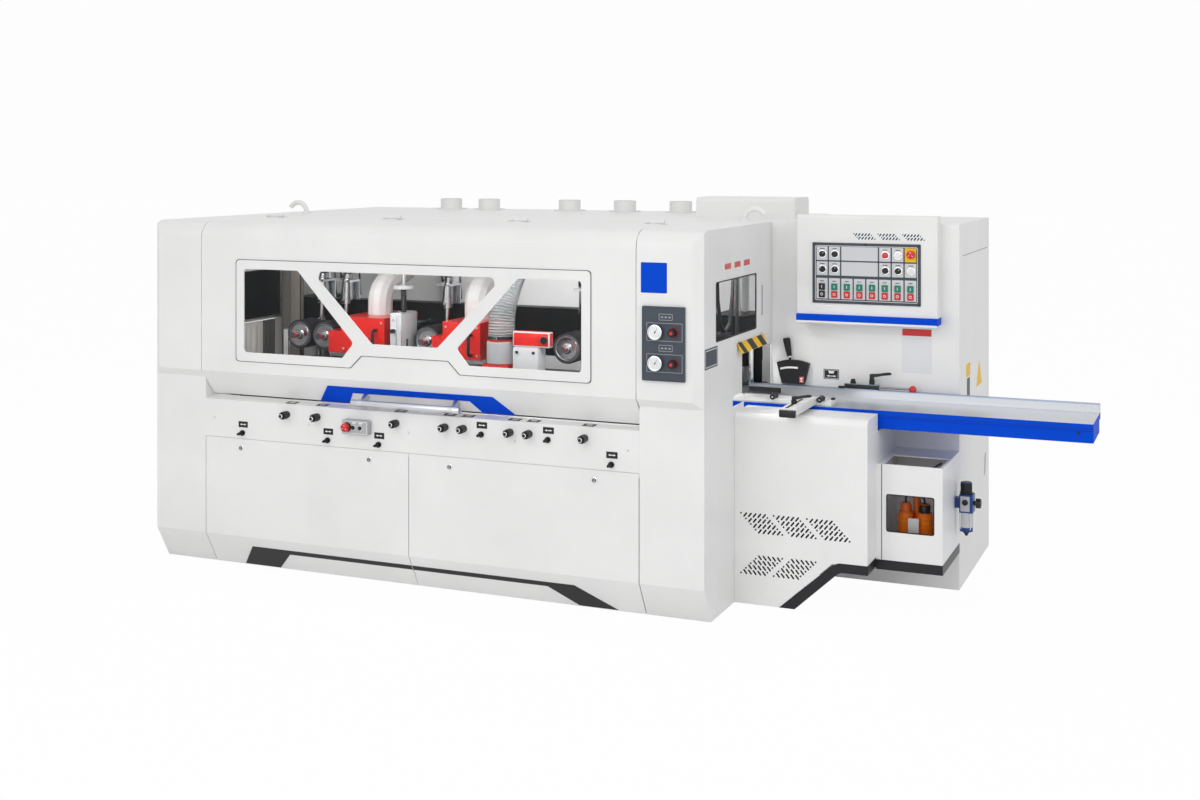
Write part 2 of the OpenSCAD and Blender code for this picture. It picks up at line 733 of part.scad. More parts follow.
// Lower doors with the slanted toe; each is held by two quarter turn locks
module door(s) {
    x0 = s < 0 ? -column_x + gap : gap / 2;
    x1 = s < 0 ? -gap / 2 : column_x - gap;
    lock = 10;
    color("whitesmoke") from_doors() {
        difference() {
            x_extrude(x0, x1) polygon(concat(door_line(0), reversed(door_line(sheet))));
            for (x = door_lock_x)
                y_rod(x, door_lock_z, -1, sheet + 1, lock + run_fit);
        }
        for (x = door_lock_x)
            if (x > x0 && x < x1) {
                y_rod(x, door_lock_z, -3, 0, lock + 3);
                y_rod(x, door_lock_z, 0, 22, lock);
                box([x - 24, 16, door_lock_z - 7], [x + 24, 20, door_lock_z + 7]);
            }
    }
}

// Ducts from the chip hoods up and back to the ports on the roof
module dust_ducts() {
    hood_top = table_z + chip_hood_h;
    end_z = port_foot;
    drop = [[0, bed_z], [0, end_z]];
    color("white") from_doors() {
        for (x = [[top_last_x, port_x[1]], [top_first_x, port_x[2]]]) {
            run = norm([x[1] - x[0], port_y - chip_duct_y]);
            duct(x[0], chip_duct_y, x[1], [[0, hood_top], [0, hood_top + 120], [560, duct_z],
                [run, duct_z], [run, end_z]]);
        }
        duct(left_x, left_axis_y, port_x[3], [[hose_end, duct_z], [hose_run, duct_z], [hose_run, end_z]]);
        for (x = [port_x[0], port_x[4]])
            translate([x, port_y, 0])
                flat_tube(drop, same(drop, port_r), drop, same(drop, port_r - duct_wall), 12);
    }
}
hose_run = norm([port_x[3] - left_x, port_y - left_axis_y]);
chip_duct_y = 740;
module duct(x, y, end_x, route) {
    path = rounded_path(route, 95);
    translate([x, y, 0]) rotate([0, 0, atan2(port_y - y, end_x - x)])
        flat_tube(path, same(path, port_r), path, same(path, port_r - duct_wall), 12);
}
// Clear ribbed hose of the left spindle
module flex_hose() {
    n = 2 * hose_ribs;
    outer = [for (k = [0:n]) hose_at(hose_l * k / n)];
    inner = [for (k = [0:16]) hose_at(hose_l * k / 16)];
    bore = port_r - duct_wall;
    ribs = [for (k = [0:n]) bore + 2 + (k % 2) * rib_h];
    color("lightgray", 0.6) from_doors() translate([left_x, left_axis_y, 0])
        rotate([0, 0, atan2(port_y - left_axis_y, port_x[3] - left_x)])
        flat_tube(outer, ribs, inner, same(inner, bore), 8);
}
// Chip hoods over the top spindles and round the left spindle
module dust_hoods() {
    color("red") from_doors() {
        top_chip_hood(top_last_x, 105, 130, 170);
        top_chip_hood(top_first_x, 82, 108, 137);
        left_chip_hood();
    }
}
module top_chip_hood(x, left, right, low) {
    wall = 3;
    lo = [x - left, head_y0 - 25, top_axis_z - head_r + 4];
    hi = [x + right, beam_y - 10, table_z + chip_hood_h];
    step = [x - low, lo[1], lo[2]];
    difference() {
        union() {
            box(lo, hi);
            box(step, [lo[0] + 1, hi[1], lo[2] + 100]);
        }
        box(lo + [wall, wall, -1], hi - [wall, wall, wall]);
        box(step + [wall, wall, -1], [lo[0] + 2 * wall, hi[1] - wall, lo[2] + 100 - wall]);
        box([x - spindle_r - 10, hi[1] - 2 * wall, lo[2] - 1], [x + spindle_r + 10, hi[1] + 1, top_axis_z + spindle_r + 10]);
        z_rod(x, chip_duct_y, hi[2] - 2 * wall, hi[2] + 1, port_r - duct_wall);
    }
}
module left_chip_hood() {
    wall = 3;
    lo = [left_x - side_head_r - 14, bed_y0 + 2, table_z];
    hi = [left_x + side_head_r + 14, left_axis_y + side_head_r, table_z + 104];
    difference() {
        union() {
            box(lo, hi);
            z_rod(left_x, left_axis_y, hi[2] - 1, collar_top, port_r + 4);
        }
        box(lo + [wall, wall, -1], hi + [-wall, 1, -wall]);
        z_rod(left_x, left_axis_y, hi[2] - 2 * wall, collar_top + 1, port_r - duct_wall);
    }
}

// Horizontal spindle: cutterhead with gullets, shaft and clamp nut
module horizontal_spindle(x, z) {
    color("silver") from_doors() {
        y_rod(x, z, head_y0 - 20, housing_y1 - 21, spindle_r);
        difference() {
            y_rod(x, z, head_y0, head_y1, head_r);
            for (a = [0:90:270])
                translate([x, head_y0 - 1, z]) rotate([0, a, 0]) gullet(head_y1 - head_y0 + 2, head_r);
        }
        y_rod(x, z, head_y0 - 16, head_y0, spindle_r + 12);
    }
}
module gullet(l, r) {
    translate([r - 14, 0, 0]) cube([16, l, 14]);
}
// Upright spindle beside the board
module upright_spindle(x, y) {
    z0 = table_z - 36;
    z1 = table_z + 89;
    color("silver") from_doors() {
        z_rod(x, y, bed_z + 61, z1 + 8, spindle_r);
        difference() {
            z_rod(x, y, z0, z1, side_head_r);
            for (a = [0:90:270])
                translate([x, y, z0 - 1]) rotate([0, 0, a]) rotate([90, 0, 0]) translate([0, 0, -14])
                    translate([side_head_r - 12, 0, 0]) cube([14, z1 - z0 + 2, 14]);
        }
    }
}

// Feed beam on its two posts, with a bearing bracket for each roller
module feed_beam() {
    end = post_x + 80;
    notch = 70;
    y1 = beam_y + beam_d;
    rise = top_axis_z + spindle_r + beam_down + 4;
    side_rise = table_z + 97 + beam_down + 4;
    color("#202020") from_doors() difference() {
        union() {
            box([-end, beam_y, beam_z], [end, y1, beam_top]);
            for (s = [-1, 1])
                box([s * post_x - 80, y1, beam_z], [s * post_x + 80, post_y + 80, beam_top]);
            for (x = roller_x)
                box([x - 45, beam_y - 90, roller_z - 45], [x + 45, beam_y, roller_z + 45]);
        }
        for (s = [-1, 1])
            z_rod(s * post_x, post_y, beam_z - 1, beam_top + 1, post_r + run_fit);
        for (x = roller_x)
            y_rod(x, roller_z, beam_y - 91, beam_y + 26, spindle_r + run_fit);
        for (x = [top_last_x, top_first_x])
            box([x - notch, beam_y - 1, beam_z - 1], [x + notch, y1 + 1, rise]);
        box([right_x - 80, beam_y - 1, beam_z - 1], [right_x + 80, y1 + 1, side_rise]);
    }
}
// Air cylinders over the rollers, a screw set press shoe and the feed gearmotor
module press_units() {
    cyl_y = beam_y - 45;
    foot = roller_z + 45;
    color("silver") from_doors() {
        for (x = roller_x) {
            z_rod(x, cyl_y, foot, foot + 90, 12);
            z_rod(x, cyl_y, foot + 90, beam_top + 130, 24);
            box([x - 40, cyl_y - 35, beam_top + 90], [x + 40, beam_y + 15, beam_top + 100]);
            box([x - 40, beam_y + 5, beam_top], [x + 40, beam_y + 15, beam_top + 90]);
        }
        box([-422, 560, roller_z - 61], [-365, 700, roller_z + 128]);
        z_rod(-393, 630, roller_z + 128, roller_z + 330, 9);
        box([-425, 600, roller_z + 240], [-361, 660, roller_z + 252]);
        y_rod(-393, roller_z + 60, 700, beam_y, 16);
        gearmotor();
    }
}
module gearmotor() {
    x = 860;
    y1 = beam_y + beam_d;
    box([x - 75, y1, beam_z + 30], [x + 75, y1 + 110, beam_z + 190]);
    y_rod(x, beam_z + 110, y1 + 110, y1 + 330, 62);
}
// Driven feed roller with a ribbed rim, dished front and hub nut
module feed_roller(i) {
    x = roller_x[i];
    ribs = 6;
    pitch = roller_w / ribs;
    color("dimgray") from_doors() {
        difference() {
            union() {
                y_rod(x, roller_z, roller_y, roller_y + roller_w, roller_r - 3);
                for (k = [0:ribs - 1])
                    y_rod(x, roller_z, roller_y + k * pitch + 2, roller_y + k * pitch + pitch - 2, roller_r);
            }
            y_rod(x, roller_z, roller_y - 1, roller_y + 18, roller_r - 12);
        }
        y_rod(x, roller_z, roller_y - 2, roller_y + 18, 18);
        y_rod(x, roller_z, roller_y - 40, roller_y + 18, 7);
        y_rod(x, roller_z, roller_y - 57, roller_y - 39, 15);
        y_rod(x, roller_z, roller_y + roller_w, beam_y + 25, spindle_r);
    }
}

// Infeed table: a ribbed casting that slides on the end of the bed
module infeed_table() {
    wall = 20;
    lip = 26;
    z0 = table_z - table_side;
    color("royalblue") from_doors() {
        difference() {
            union() {
                box([table_x, table_y, z0], [fence_x1, table_y + 256, table_z]);
                box([table_x, table_y - 4, table_z - lip], [fence_x1, table_y + table_w, table_z]);
            }
            for (k = [0:3])
                let (bay = (table_l - wall) / 4, x0 = table_x + wall + k * bay)
                box([x0, table_y + wall, z0 - 1], [x0 + bay - wall, table_y + 256 - wall, table_z - lip]);
        }
        box([table_x, table_y + 40, bed_z + 50], [table_x + 30, table_y + 216, z0]);
    }
}
module infeed_fence() {
    z0 = table_z + slide_fit;
    color("silver") from_doors() {
        box([table_x + 4, fence_y, z0], [fence_x1, fence_y + fence_t, z0 + fence_h]);
        difference() {
            box([clamp_x - 112, fence_y + 2, z0 + fence_h], [clamp_x + 28, fence_y + 24, z0 + fence_h + 22]);
            z_rod(clamp_x, fence_y + 13, z0 + fence_h + 2, z0 + fence_h + 23, 6 + run_fit);
            x_rod(fence_y + 13, z0 + fence_h + 11, clamp_x + 10, clamp_x + 29, 4 + run_fit);
        }
    }
}
clamp_x = 1740;
// Ratchet lever that locks the fence
module fence_clamp() {
    z0 = table_z + slide_fit + fence_h + 22 + slide_fit;
    y = fence_y + 13;
    color("black") from_doors() {
        z_rod(clamp_x, y, z0 - 18, z0, 6);
        z_rod(clamp_x, y, z0, z0 + 44, 11);
        box([clamp_x, y - 5, z0 + 32], [clamp_x + 72, y + 5, z0 + 44]);
        translate([clamp_x + 72, y, z0 + 38]) sphere(r = 8);
    }
}
// Rod with a ball that moves the fence
module fence_lever() {
    y = fence_y + 13;
    z = table_z + slide_fit + fence_h + 11;
    color("silver") from_doors() {
        x_rod(y, z, clamp_x + 11, clamp_x + 160, 4);
        translate([clamp_x + 172, y, z]) sphere(r = 15);
    }
}
// Side guide plate with its arm over the front edge of the table
module side_guide() {
    z0 = table_z + slide_fit;
    color("white") from_doors() difference() {
        union() {
            box([table_x + 4, 595, z0], [table_x + 4 + guide_l, 595 + guide_w, z0 + 14]);
            box([arm_x, 290, z0 + 4], [arm_x + 70, 640, z0 + 26]);
            box([arm_x + 4, 280, z0 + 1], [arm_x + 66, 290, z0 + 24]);
            y_rod(arm_x - 116, z0 + 22, 590, 640, 11);
            y_rod(arm_x + 83, z0 + 22, 590, 640, 11);
        }
        z_rod(guide_clamp_at[0], guide_clamp_at[1], z0 + 8, z0 + 27, 6 + run_fit);
    }
}
arm_x = 1500;
guide_clamp_at = [arm_x + 20, 434];
module guide_clamp() {
    z0 = table_z + 2 * slide_fit + 26;
    x = guide_clamp_at[0];
    y = guide_clamp_at[1];
    color("black") from_doors() {
        z_rod(x, y, z0 - 18, z0, 6);
        z_rod(x, y, z0, z0 + 30, 10);
        box([x, y - 5, z0 + 18], [x + 70, y + 5, z0 + 30]);
    }
}
// Black sector for the cutting depth, with a slit from above that the lever swings in
module lever_quadrant() {
    x = quadrant_at[0];
    z = quadrant_at[1];
    color("#202020") from_doors() difference() {
        y_extrude(quadrant_y, cabinet_y) polygon(concat(arc([x, 700], 220, 109, 71),
            [[x + 50, 820], [x - 50, 820]]));
        y_extrude(lever_y - 5, lever_y + 5)
            polygon([[x - 18, z - 18], [x - 58, z + 84], [x + 58, z + 84], [x + 18, z - 18]]);
        y_rod(x, z, quadrant_y - 1, quadrant_y + 21, 8 + run_fit);
    }
}
lever_y = quadrant_y + 9;
lever_lean = 10.5;
module depth_lever() {
    color("#303030") from_doors() {
        y_rod(quadrant_at[0], quadrant_at[1], lever_y - 4, lever_y + 4, 14);
        y_rod(quadrant_at[0], quadrant_at[1], quadrant_y, quadrant_y + 20, 8);
        translate([quadrant_at[0], lever_y, quadrant_at[1]]) rotate([0, -lever_lean, 0]) {
            box([-5, -3, 0], [5, 3, 92]);
            cylinder(h = 100, r = 3);
            translate([0, 0, 92]) cylinder(h = 78, r1 = 10, r2 = 15);
        }
    }
}

// Cover under the infeed table, cut away at its lower right
module infeed_cover() {
    color("whitesmoke") from_doors() difference() {
        infeed_form(0);
        infeed_form(sheet);
    }
}
module infeed_form(i) {
    r = 30;
    open = i > 0 ? 2 : 0;
    step_y = table_y - 13;
    low = table_z - table_side - 8;
    intersection() {
        x_extrude(body_x - open, cover_x1 - i) polygon(concat([[cover_y + i, foot_gap - open]],
            arc([cover_y + r, cover_top - r], r - i, 180, 90), [[step_y - i, cover_top - i],
            [step_y - i, low - i], [cabinet_y + open, low - i], [cabinet_y + open, foot_gap - open]]));
        y_extrude(cover_y - 1, cabinet_y + 3) polygon([[body_x - 3, -1], [body_x - 3, cover_top + 1],
            [cover_x1 + 1 - i, cover_top + 1], [cover_x1 + 1 - i, 198 + i], [body_x + 402 - i, 198 + i],
            [body_x + 184 - 1.5 * i, -1]]);
    }
}
// Closed cabinet for the switchgear
module electrical_cabinet() {
    lo = [body_x, cabinet_y, 0];
    hi = [cabinet_x1, cabinet_y1, cabinet_h];
    wall = [sheet, sheet, sheet];
    color("whitesmoke") from_doors() difference() {
        box(lo, hi);
        box(lo + wall, hi - wall);
    }
}
// Operator housing with the rail under it
module operator_housing() {
    rail = 25;
    top_r = 12;
    lo = [housing_x0, housing_front, housing_z];
    hi = [housing_x1, cabinet_y, housing_z + housing_h];
    color("whitesmoke") from_doors() {
        difference() {
            x_extrude(lo[0], hi[0]) polygon(concat([[lo[1], lo[2]]],
                arc([lo[1] + top_r, hi[2] - top_r], top_r, 180, 90), [[hi[1], hi[2]], [hi[1], lo[2]]]));
            box(lo + [sheet, sheet, sheet], hi - [sheet, sheet, top_r]);
            y_rod(panel_stop[0], panel_stop[1], lo[1] - 1, lo[1] + 2 * sheet, 10);
        }
        box([lo[0], housing_front - 14, housing_z - rail], [hi[0], cabinet_y, housing_z]);
    }
}
// Slate plate with the knobs and key rows
module operator_panel() {
    y1 = housing_front;
    y0 = panel_front;
    pitch = (panel_l - 30) / 8;
    color("slategray") from_doors() {
        difference() {
            box([panel_x0, y0, panel_z0], [panel_x0 + panel_l, y1, panel_z0 + panel_h]);
            y_rod(panel_stop[0], panel_stop[1], y0 - 1, y1 + 1, 8 + run_fit);
        }
        for (k = [0, 1, 5, 6], row = [0, 1])
            panel_knob(panel_x0 + 15 + (k + 0.5) * pitch, panel_z0 + panel_h - 42 - row * 58, y0);
        panel_knob(panel_x0 + 15 + 7.5 * pitch, panel_z0 + panel_h - 100, y0);
        for (k = [0:7], row = [0, 1])
            box([panel_x0 + 15 + k * pitch + 10, y0 - 6, panel_z0 + 24 + row * 40],
                [panel_x0 + 15 + k * pitch + pitch - 10, y0, panel_z0 + 54 + row * 40]);
    }
}
module panel_knob(x, z, y) {
    y_rod(x, z, y - 5, y, 15);
    y_rod(x, z, y - 16, y - 5, 11);
}
module panel_estop() {
    color("red") from_doors() stop_head(panel_stop[0], panel_front, panel_stop[1], 24);
}

// Air gauge plate on the right end cover
module gauge_panel() {
    lo = [body_x - 237, -belt_out - 12, 940];
    hi = [body_x - 64, -belt_out, 1225];
    color("slategray") from_doors() {
        difference() {
            box(lo, hi);
            for (z = knob_z)
                y_rod(knob_x, z, lo[1] - 1, lo[1] + 9, 5 + run_fit);
        }
        for (z = knob_z)
            y_rod(body_x - 186, z, lo[1] - 14, lo[1], 27);
    }
}
knob_x = body_x - 107;
knob_z = [1128, 1009];
module regulator_knob(i) {
    y0 = -belt_out - 12;
    color("black") from_doors() {
        y_rod(knob_x, knob_z[i], y0 - slide_fit, y0 + 8, 5);
        y_rod(knob_x, knob_z[i], y0 - 8, y0 - slide_fit, 18);
        y_rod(knob_x, knob_z[i], y0 - 34, y0 - 8, 14);
    }
}

// Cabinet for the table lubrication pump, open at the front half of its top
module lube_cabinet() {
    lo = [cover_x1, lube_y, lube_z];
    hi = [cabinet_x1, cabinet_y, lube_z + lube_h];
    color("whitesmoke") from_doors() difference() {
        box(lo, hi);
        box(lo + [sheet, sheet, sheet], hi - [sheet, sheet, sheet]);
        box([lo[0] + 32, lube_y + 10, hi[2] - 2 * sheet], [hi[0] - 12, lube_y + 199, hi[2] + 1]);
        box([lo[0] + 44, lube_y - 1, lube_z + 153], [hi[0] - 35, lube_y + sheet + 1, lube_z + 297]);
    }
}
module lubricator() {
    x = (cover_x1 + cabinet_x1) / 2;
    y = lube_y + 130;
    z0 = lube_z + sheet;
    half = 0.266 * (cabinet_x1 - cover_x1);
    color("orange") from_doors() {
        box([x - half, y - 40, z0], [x + half, y + 60, z0 + 110]);
        for (s = [-1, 1]) {
            z_rod(x + s * 0.54 * half, y, z0 + 110, z0 + 205, 0.43 * half);
            z_rod(x + s * 0.54 * half, y, z0 + 205, z0 + 240, 0.26 * half);
        }
        z_rod(x, y + 30, z0 + 110, z0 + 290, 0.2 * half);
    }
}
// Filter and regulator for the air supply on the lubrication cabinet's side
module air_regulator() {
    x = cabinet_x1 + 44;
    y = cabinet_y - 96;
    z = lube_z + 228;
    color("#203060") from_doors() {
        box([cabinet_x1, y - 20, z - 20], [cabinet_x1 + 20, y + 20, z + 20]);
        difference() {
            box([cabinet_x1 + 20, y - 30, z - 36], [x + 30, y + 30, z + 37]);
            y_rod(x, z, y - 31, y + 31, 7);
        }
        z_rod(x, y, z - 115, z - 36, 26);
        z_rod(x, y, z + 37, z + 84, 22);
    }
}

base_frame();
machine_bed();
spindle_motors();
end_cover_left();
end_cover_right();
roof_panel();
rear_panel();
roof_fittings();
control_strip();
lock_bolts();
dust_ducts();
flex_hose();
dust_hoods();
gauge_panel();
electrical_cabinet();
operator_housing();
operator_panel();
infeed_cover();
lube_cabinet();
lubricator();
air_regulator();
lever_quadrant();
side_window();
hood_shell();
hood_frame();
hood_pane();
hood_handle();
hood_hinges();
door(-1);  // door_left
door(1);  // door_right
infeed_table();
infeed_fence();
side_guide();
guide_clamp();
fence_clamp();
fence_lever();
depth_lever();
feed_beam();
press_units();
feed_roller(0);  // feed_roller_1
feed_roller(1);  // feed_roller_2
feed_roller(2);  // feed_roller_3
feed_roller(3);  // feed_roller_4
horizontal_spindle(top_last_x, top_axis_z);  // spindle_top_last
horizontal_spindle(top_first_x, top_axis_z);  // spindle_top_first
upright_spindle(left_x, left_axis_y);  // spindle_left
upright_spindle(right_x, right_axis_y);  // spindle_right
horizontal_spindle(bottom_x, bottom_axis_z);  // spindle_bottom
adjuster(0);  // adjuster_1
adjuster(1);  // adjuster_2
adjuster(2);  // adjuster_3
adjuster(3);  // adjuster_4
adjuster(4);  // adjuster_5
adjuster(5);  // adjuster_6
adjuster(6);  // adjuster_7
adjuster(7);  // adjuster_8
panel_estop();
front_estop();
regulator_knob(0);  // regulator_knob_upper
regulator_knob(1);  // regulator_knob_lower
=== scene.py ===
"""Four sided moulder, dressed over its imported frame."""
from math import atan2, cos, hypot, pi, radians, sin, tan

import bmesh
import bpy
from mathutils import Matrix, Vector


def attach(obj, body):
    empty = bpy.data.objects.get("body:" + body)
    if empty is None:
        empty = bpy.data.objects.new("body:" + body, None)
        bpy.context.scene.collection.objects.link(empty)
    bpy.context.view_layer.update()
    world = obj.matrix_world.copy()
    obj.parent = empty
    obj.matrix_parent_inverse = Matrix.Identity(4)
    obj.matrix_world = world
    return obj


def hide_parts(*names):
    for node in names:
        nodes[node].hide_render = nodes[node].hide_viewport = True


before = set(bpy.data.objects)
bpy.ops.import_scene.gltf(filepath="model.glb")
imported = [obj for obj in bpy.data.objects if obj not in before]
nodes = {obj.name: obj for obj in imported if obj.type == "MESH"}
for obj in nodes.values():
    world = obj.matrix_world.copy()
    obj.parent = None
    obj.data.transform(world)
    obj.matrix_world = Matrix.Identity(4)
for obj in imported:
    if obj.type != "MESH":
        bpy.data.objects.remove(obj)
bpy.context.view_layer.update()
scene = bpy.context.scene

# Studio: a pale floor that runs into a white surround, three large soft lamps, and small lamps
# under the roof that light the inside as the photo shows it. The camera stands at the photo's
# place, level and shifted down to take in the whole machine.
DOOR_PLANE = 0.935


def shop(x, y, z):
    """A point in millimetres, counted from the door plane, as metres in the frame."""
    return Vector((x / 1000, y / 1000 - DOOR_PLANE, z / 1000))


camera_data = bpy.data.cameras.new("camera")
camera_data.lens = 45.4
camera_data.sensor_width = 36
camera_data.shift_y = -0.2033
camera_data.clip_end = 200
camera = bpy.data.objects.new("camera", camera_data)
camera.location = (3.173, -6.388, 1.800)
camera.rotation_euler = (radians(90), 0, radians(22.99))
scene.collection.objects.link(camera)
scene.camera = camera
scene.view_settings.view_transform = "Standard"


def wire(tree, *pairs):
    """Joins sockets two by two."""
    for source, target in pairs:
        tree.links.new(source, target)


def add_node(tree, kind, **values):
    """A node with values on its sockets; an underscore stands for a space in a socket's name."""
    node = tree.nodes.new(kind)
    for socket, value in values.items():
        node.inputs[socket.replace("_", " ")].default_value = value
    return node


def seen_directly(tree):
    """1 for rays from the camera, mirrors and clear panes, 0 for light that falls on things."""
    path = tree.nodes.new("ShaderNodeLightPath")
    total = path.outputs["Is Camera Ray"]
    for name in ("Is Glossy Ray", "Is Transmission Ray"):
        either = tree.nodes.new("ShaderNodeMath")
        either.operation = "MAXIMUM"
        wire(tree, (total, either.inputs[0]), (path.outputs[name], either.inputs[1]))
        total = either.outputs[0]
    return total


world = bpy.data.worlds.new("surround")
world.use_nodes = True
scene.world = world
surround = world.node_tree
light_level = add_node(surround, "ShaderNodeMapRange", To_Min=0.55, To_Max=0.985)
wire(surround, (seen_directly(surround), light_level.inputs["Value"]),
     (light_level.outputs["Result"], surround.nodes["Background"].inputs["Strength"]))
surround.nodes["Background"].inputs["Color"].default_value = (1, 1, 1, 1)

floor_mesh = bpy.data.meshes.new("floor")
reach = 40
floor_mesh.from_pydata([(-reach, -reach, 0), (reach, -reach, 0), (reach, reach, 0), (-reach, reach, 0)],
                       [], [(0, 1, 2, 3)])
floor = bpy.data.objects.new("floor", floor_mesh)
scene.collection.objects.link(floor)
floor_paint = bpy.data.materials.new("pale_floor")
floor_paint.use_nodes = True
floor_tree = floor_paint.node_tree
floor_shader = floor_tree.nodes["Principled BSDF"]
floor_shader.inputs["Base Color"].default_value = (0.9, 0.9, 0.9, 1)
floor_shader.inputs["Roughness"].default_value = 0.9
floor_glow = floor_tree.nodes.new("ShaderNodeEmission")
floor_mix = floor_tree.nodes.new("ShaderNodeMixShader")
floor_share = floor_tree.nodes.new("ShaderNodeMath")
floor_share.operation = "MULTIPLY"
floor_share.inputs[1].default_value = 0.97
wire(floor_tree, (seen_directly(floor_tree), floor_share.inputs[0]),
     (floor_share.outputs[0], floor_mix.inputs[0]),
     (floor_shader.outputs[0], floor_mix.inputs[1]),
     (floor_glow.outputs[0], floor_mix.inputs[2]),
     (floor_mix.outputs[0], floor_tree.nodes["Material Output"].inputs["Surface"]))
floor_mesh.materials.append(floor_paint)

for lamp_name, place, aim, size, power in (
        ("front_lamp", (0.4, -7.0, 3.6), (0.2, 0, 0.8), (6.4, 6.4), 190),
        ("right_lamp", (6.5, -2.5, 3.6), (1.0, 0, 0.9), (4.0, 4.0), 66),
        ("top_lamp", (0.0, 0.5, 7.0), (0.2, 0, 0.5), (6.0, 6.0), 58),
        ("inner_lamp_left", (-0.55, -0.84, 1.44), (-0.55, -0.1, 0.85), (1.0, 0.10), 4.8),
        ("inner_lamp_right", (0.55, -0.84, 1.44), (0.55, -0.1, 0.85), (1.0, 0.10), 4.8),
        ("rear_wall_lamp", (0.0, 0.25, 1.30), (0.0, 0.92, 1.1), (1.0, 0.10), 4.5),
        ("end_lamp", (1.17, -0.55, 1.46), (1.10, -0.35, 1.0), (0.14, 0.14), 4.0)):
    lamp_data = bpy.data.lights.new(lamp_name, "AREA")
    lamp_data.shape = "RECTANGLE"
    lamp_data.size, lamp_data.size_y = size
    lamp_data.energy = power
    lamp = bpy.data.objects.new(lamp_name, lamp_data)
    lamp.location = place
    lamp.rotation_euler = (Vector(aim) - Vector(place)).to_track_quat("-Z", "Y").to_euler()
    scene.collection.objects.link(lamp)

# White sheet metal: folded covers, doors, hood and cabinets, all in the same warm white
# powder coat with a faint orange peel. Their folded edges are slightly rounded.
WHITE = (0.80, 0.80, 0.795)


def new_finish(name):
    """A material with its node tree, its shader and the Object coordinates."""
    material = bpy.data.materials.new(name)
    material.use_nodes = True
    tree = material.node_tree
    where = tree.nodes.new("ShaderNodeTexCoord").outputs["Object"]
    return material, tree, tree.nodes["Principled BSDF"], where


def coat(name, colour, rough, mottle=0.03, peel=0.02, peel_scale=650, metallic=0.0, gloss_coat=0.0):
    """Paint or moulded plastic: slightly uneven colour and gloss over a fine grain."""
    material, tree, shader, where = new_finish(name)
    shader.inputs["Metallic"].default_value = metallic
    shader.inputs["Coat Weight"].default_value = gloss_coat
    shader.inputs["Specular IOR Level"].default_value = 0.3
    cloud = add_node(tree, "ShaderNodeTexNoise", Scale=3.5, Detail=5)
    shade = tree.nodes.new("ShaderNodeValToRGB")
    shade.color_ramp.elements[0].position = 0.3
    shade.color_ramp.elements[1].position = 0.7
    shade.color_ramp.elements[0].color = (*[c * (1 - mottle) for c in colour], 1)
    shade.color_ramp.elements[1].color = (*[min(1, c * (1 + mottle)) for c in colour], 1)
    gloss = add_node(tree, "ShaderNodeMapRange", To_Min=rough * 0.88, To_Max=min(1, rough * 1.12))
    grain = add_node(tree, "ShaderNodeTexNoise", Scale=peel_scale, Detail=2)
    bump = add_node(tree, "ShaderNodeBump", Strength=peel, Distance=0.001)
    wire(tree, (where, cloud.inputs["Vector"]), (cloud.outputs["Fac"], shade.inputs["Fac"]),
         (shade.outputs["Color"], shader.inputs["Base Color"]),
         (cloud.outputs["Fac"], gloss.inputs["Value"]),
         (gloss.outputs["Result"], shader.inputs["Roughness"]),
         (where, grain.inputs["Vector"]), (grain.outputs["Fac"], bump.inputs["Height"]),
         (bump.outputs["Normal"], shader.inputs["Normal"]))
    return material


def paint(material, *names):
    """Gives CAD nodes their finish."""
    for name in names:
        mesh = nodes[name].data
        mesh.materials.clear()
        mesh.materials.append(material)


def ease_edges(width, *names):
    """Rounds the folded edges of CAD nodes by a width in millimetres."""
    for name in names:
        weld = nodes[name].modifiers.new("weld", "WELD")
        weld.merge_threshold = 0.00001
        flat = nodes[name].modifiers.new("flat", "DECIMATE")
        flat.decimate_type = "DISSOLVE"
        flat.angle_limit = radians(1)
        ease = nodes[name].modifiers.new("ease", "BEVEL")
        ease.width = width / 1000
        ease.segments = 2
        ease.limit_method = "ANGLE"
        ease.angle_limit = radians(40)
        ease.use_clamp_overlap = True
        ease.harden_normals = False


white_coat = coat("white_powder_coat", WHITE, 0.38)
covers = ("end_cover_left", "end_cover_right", "hood_shell", "door_left", "door_right",
          "infeed_cover", "lube_cabinet", "electrical_cabinet", "operator_housing")
paint(white_coat, *covers, "roof_panel", "rear_panel", "roof_fittings", "control_strip",
      "hood_hinges", "hood_frame")
ease_edges(1.6, *covers)
dark_base = coat("base_paint", (0.05, 0.05, 0.055), 0.6)
paint(dark_base, "base_frame")

# Lower doors: two folded sheets on quarter turn locks, with a black vinyl inlay that
# frames the foot of the machine across both doors.
black_vinyl = coat("black_vinyl", (0.012, 0.012, 0.014), 0.42, peel=0.01)
black_plastic = coat("black_plastic", (0.014, 0.014, 0.015), 0.36, peel=0.05, peel_scale=900)


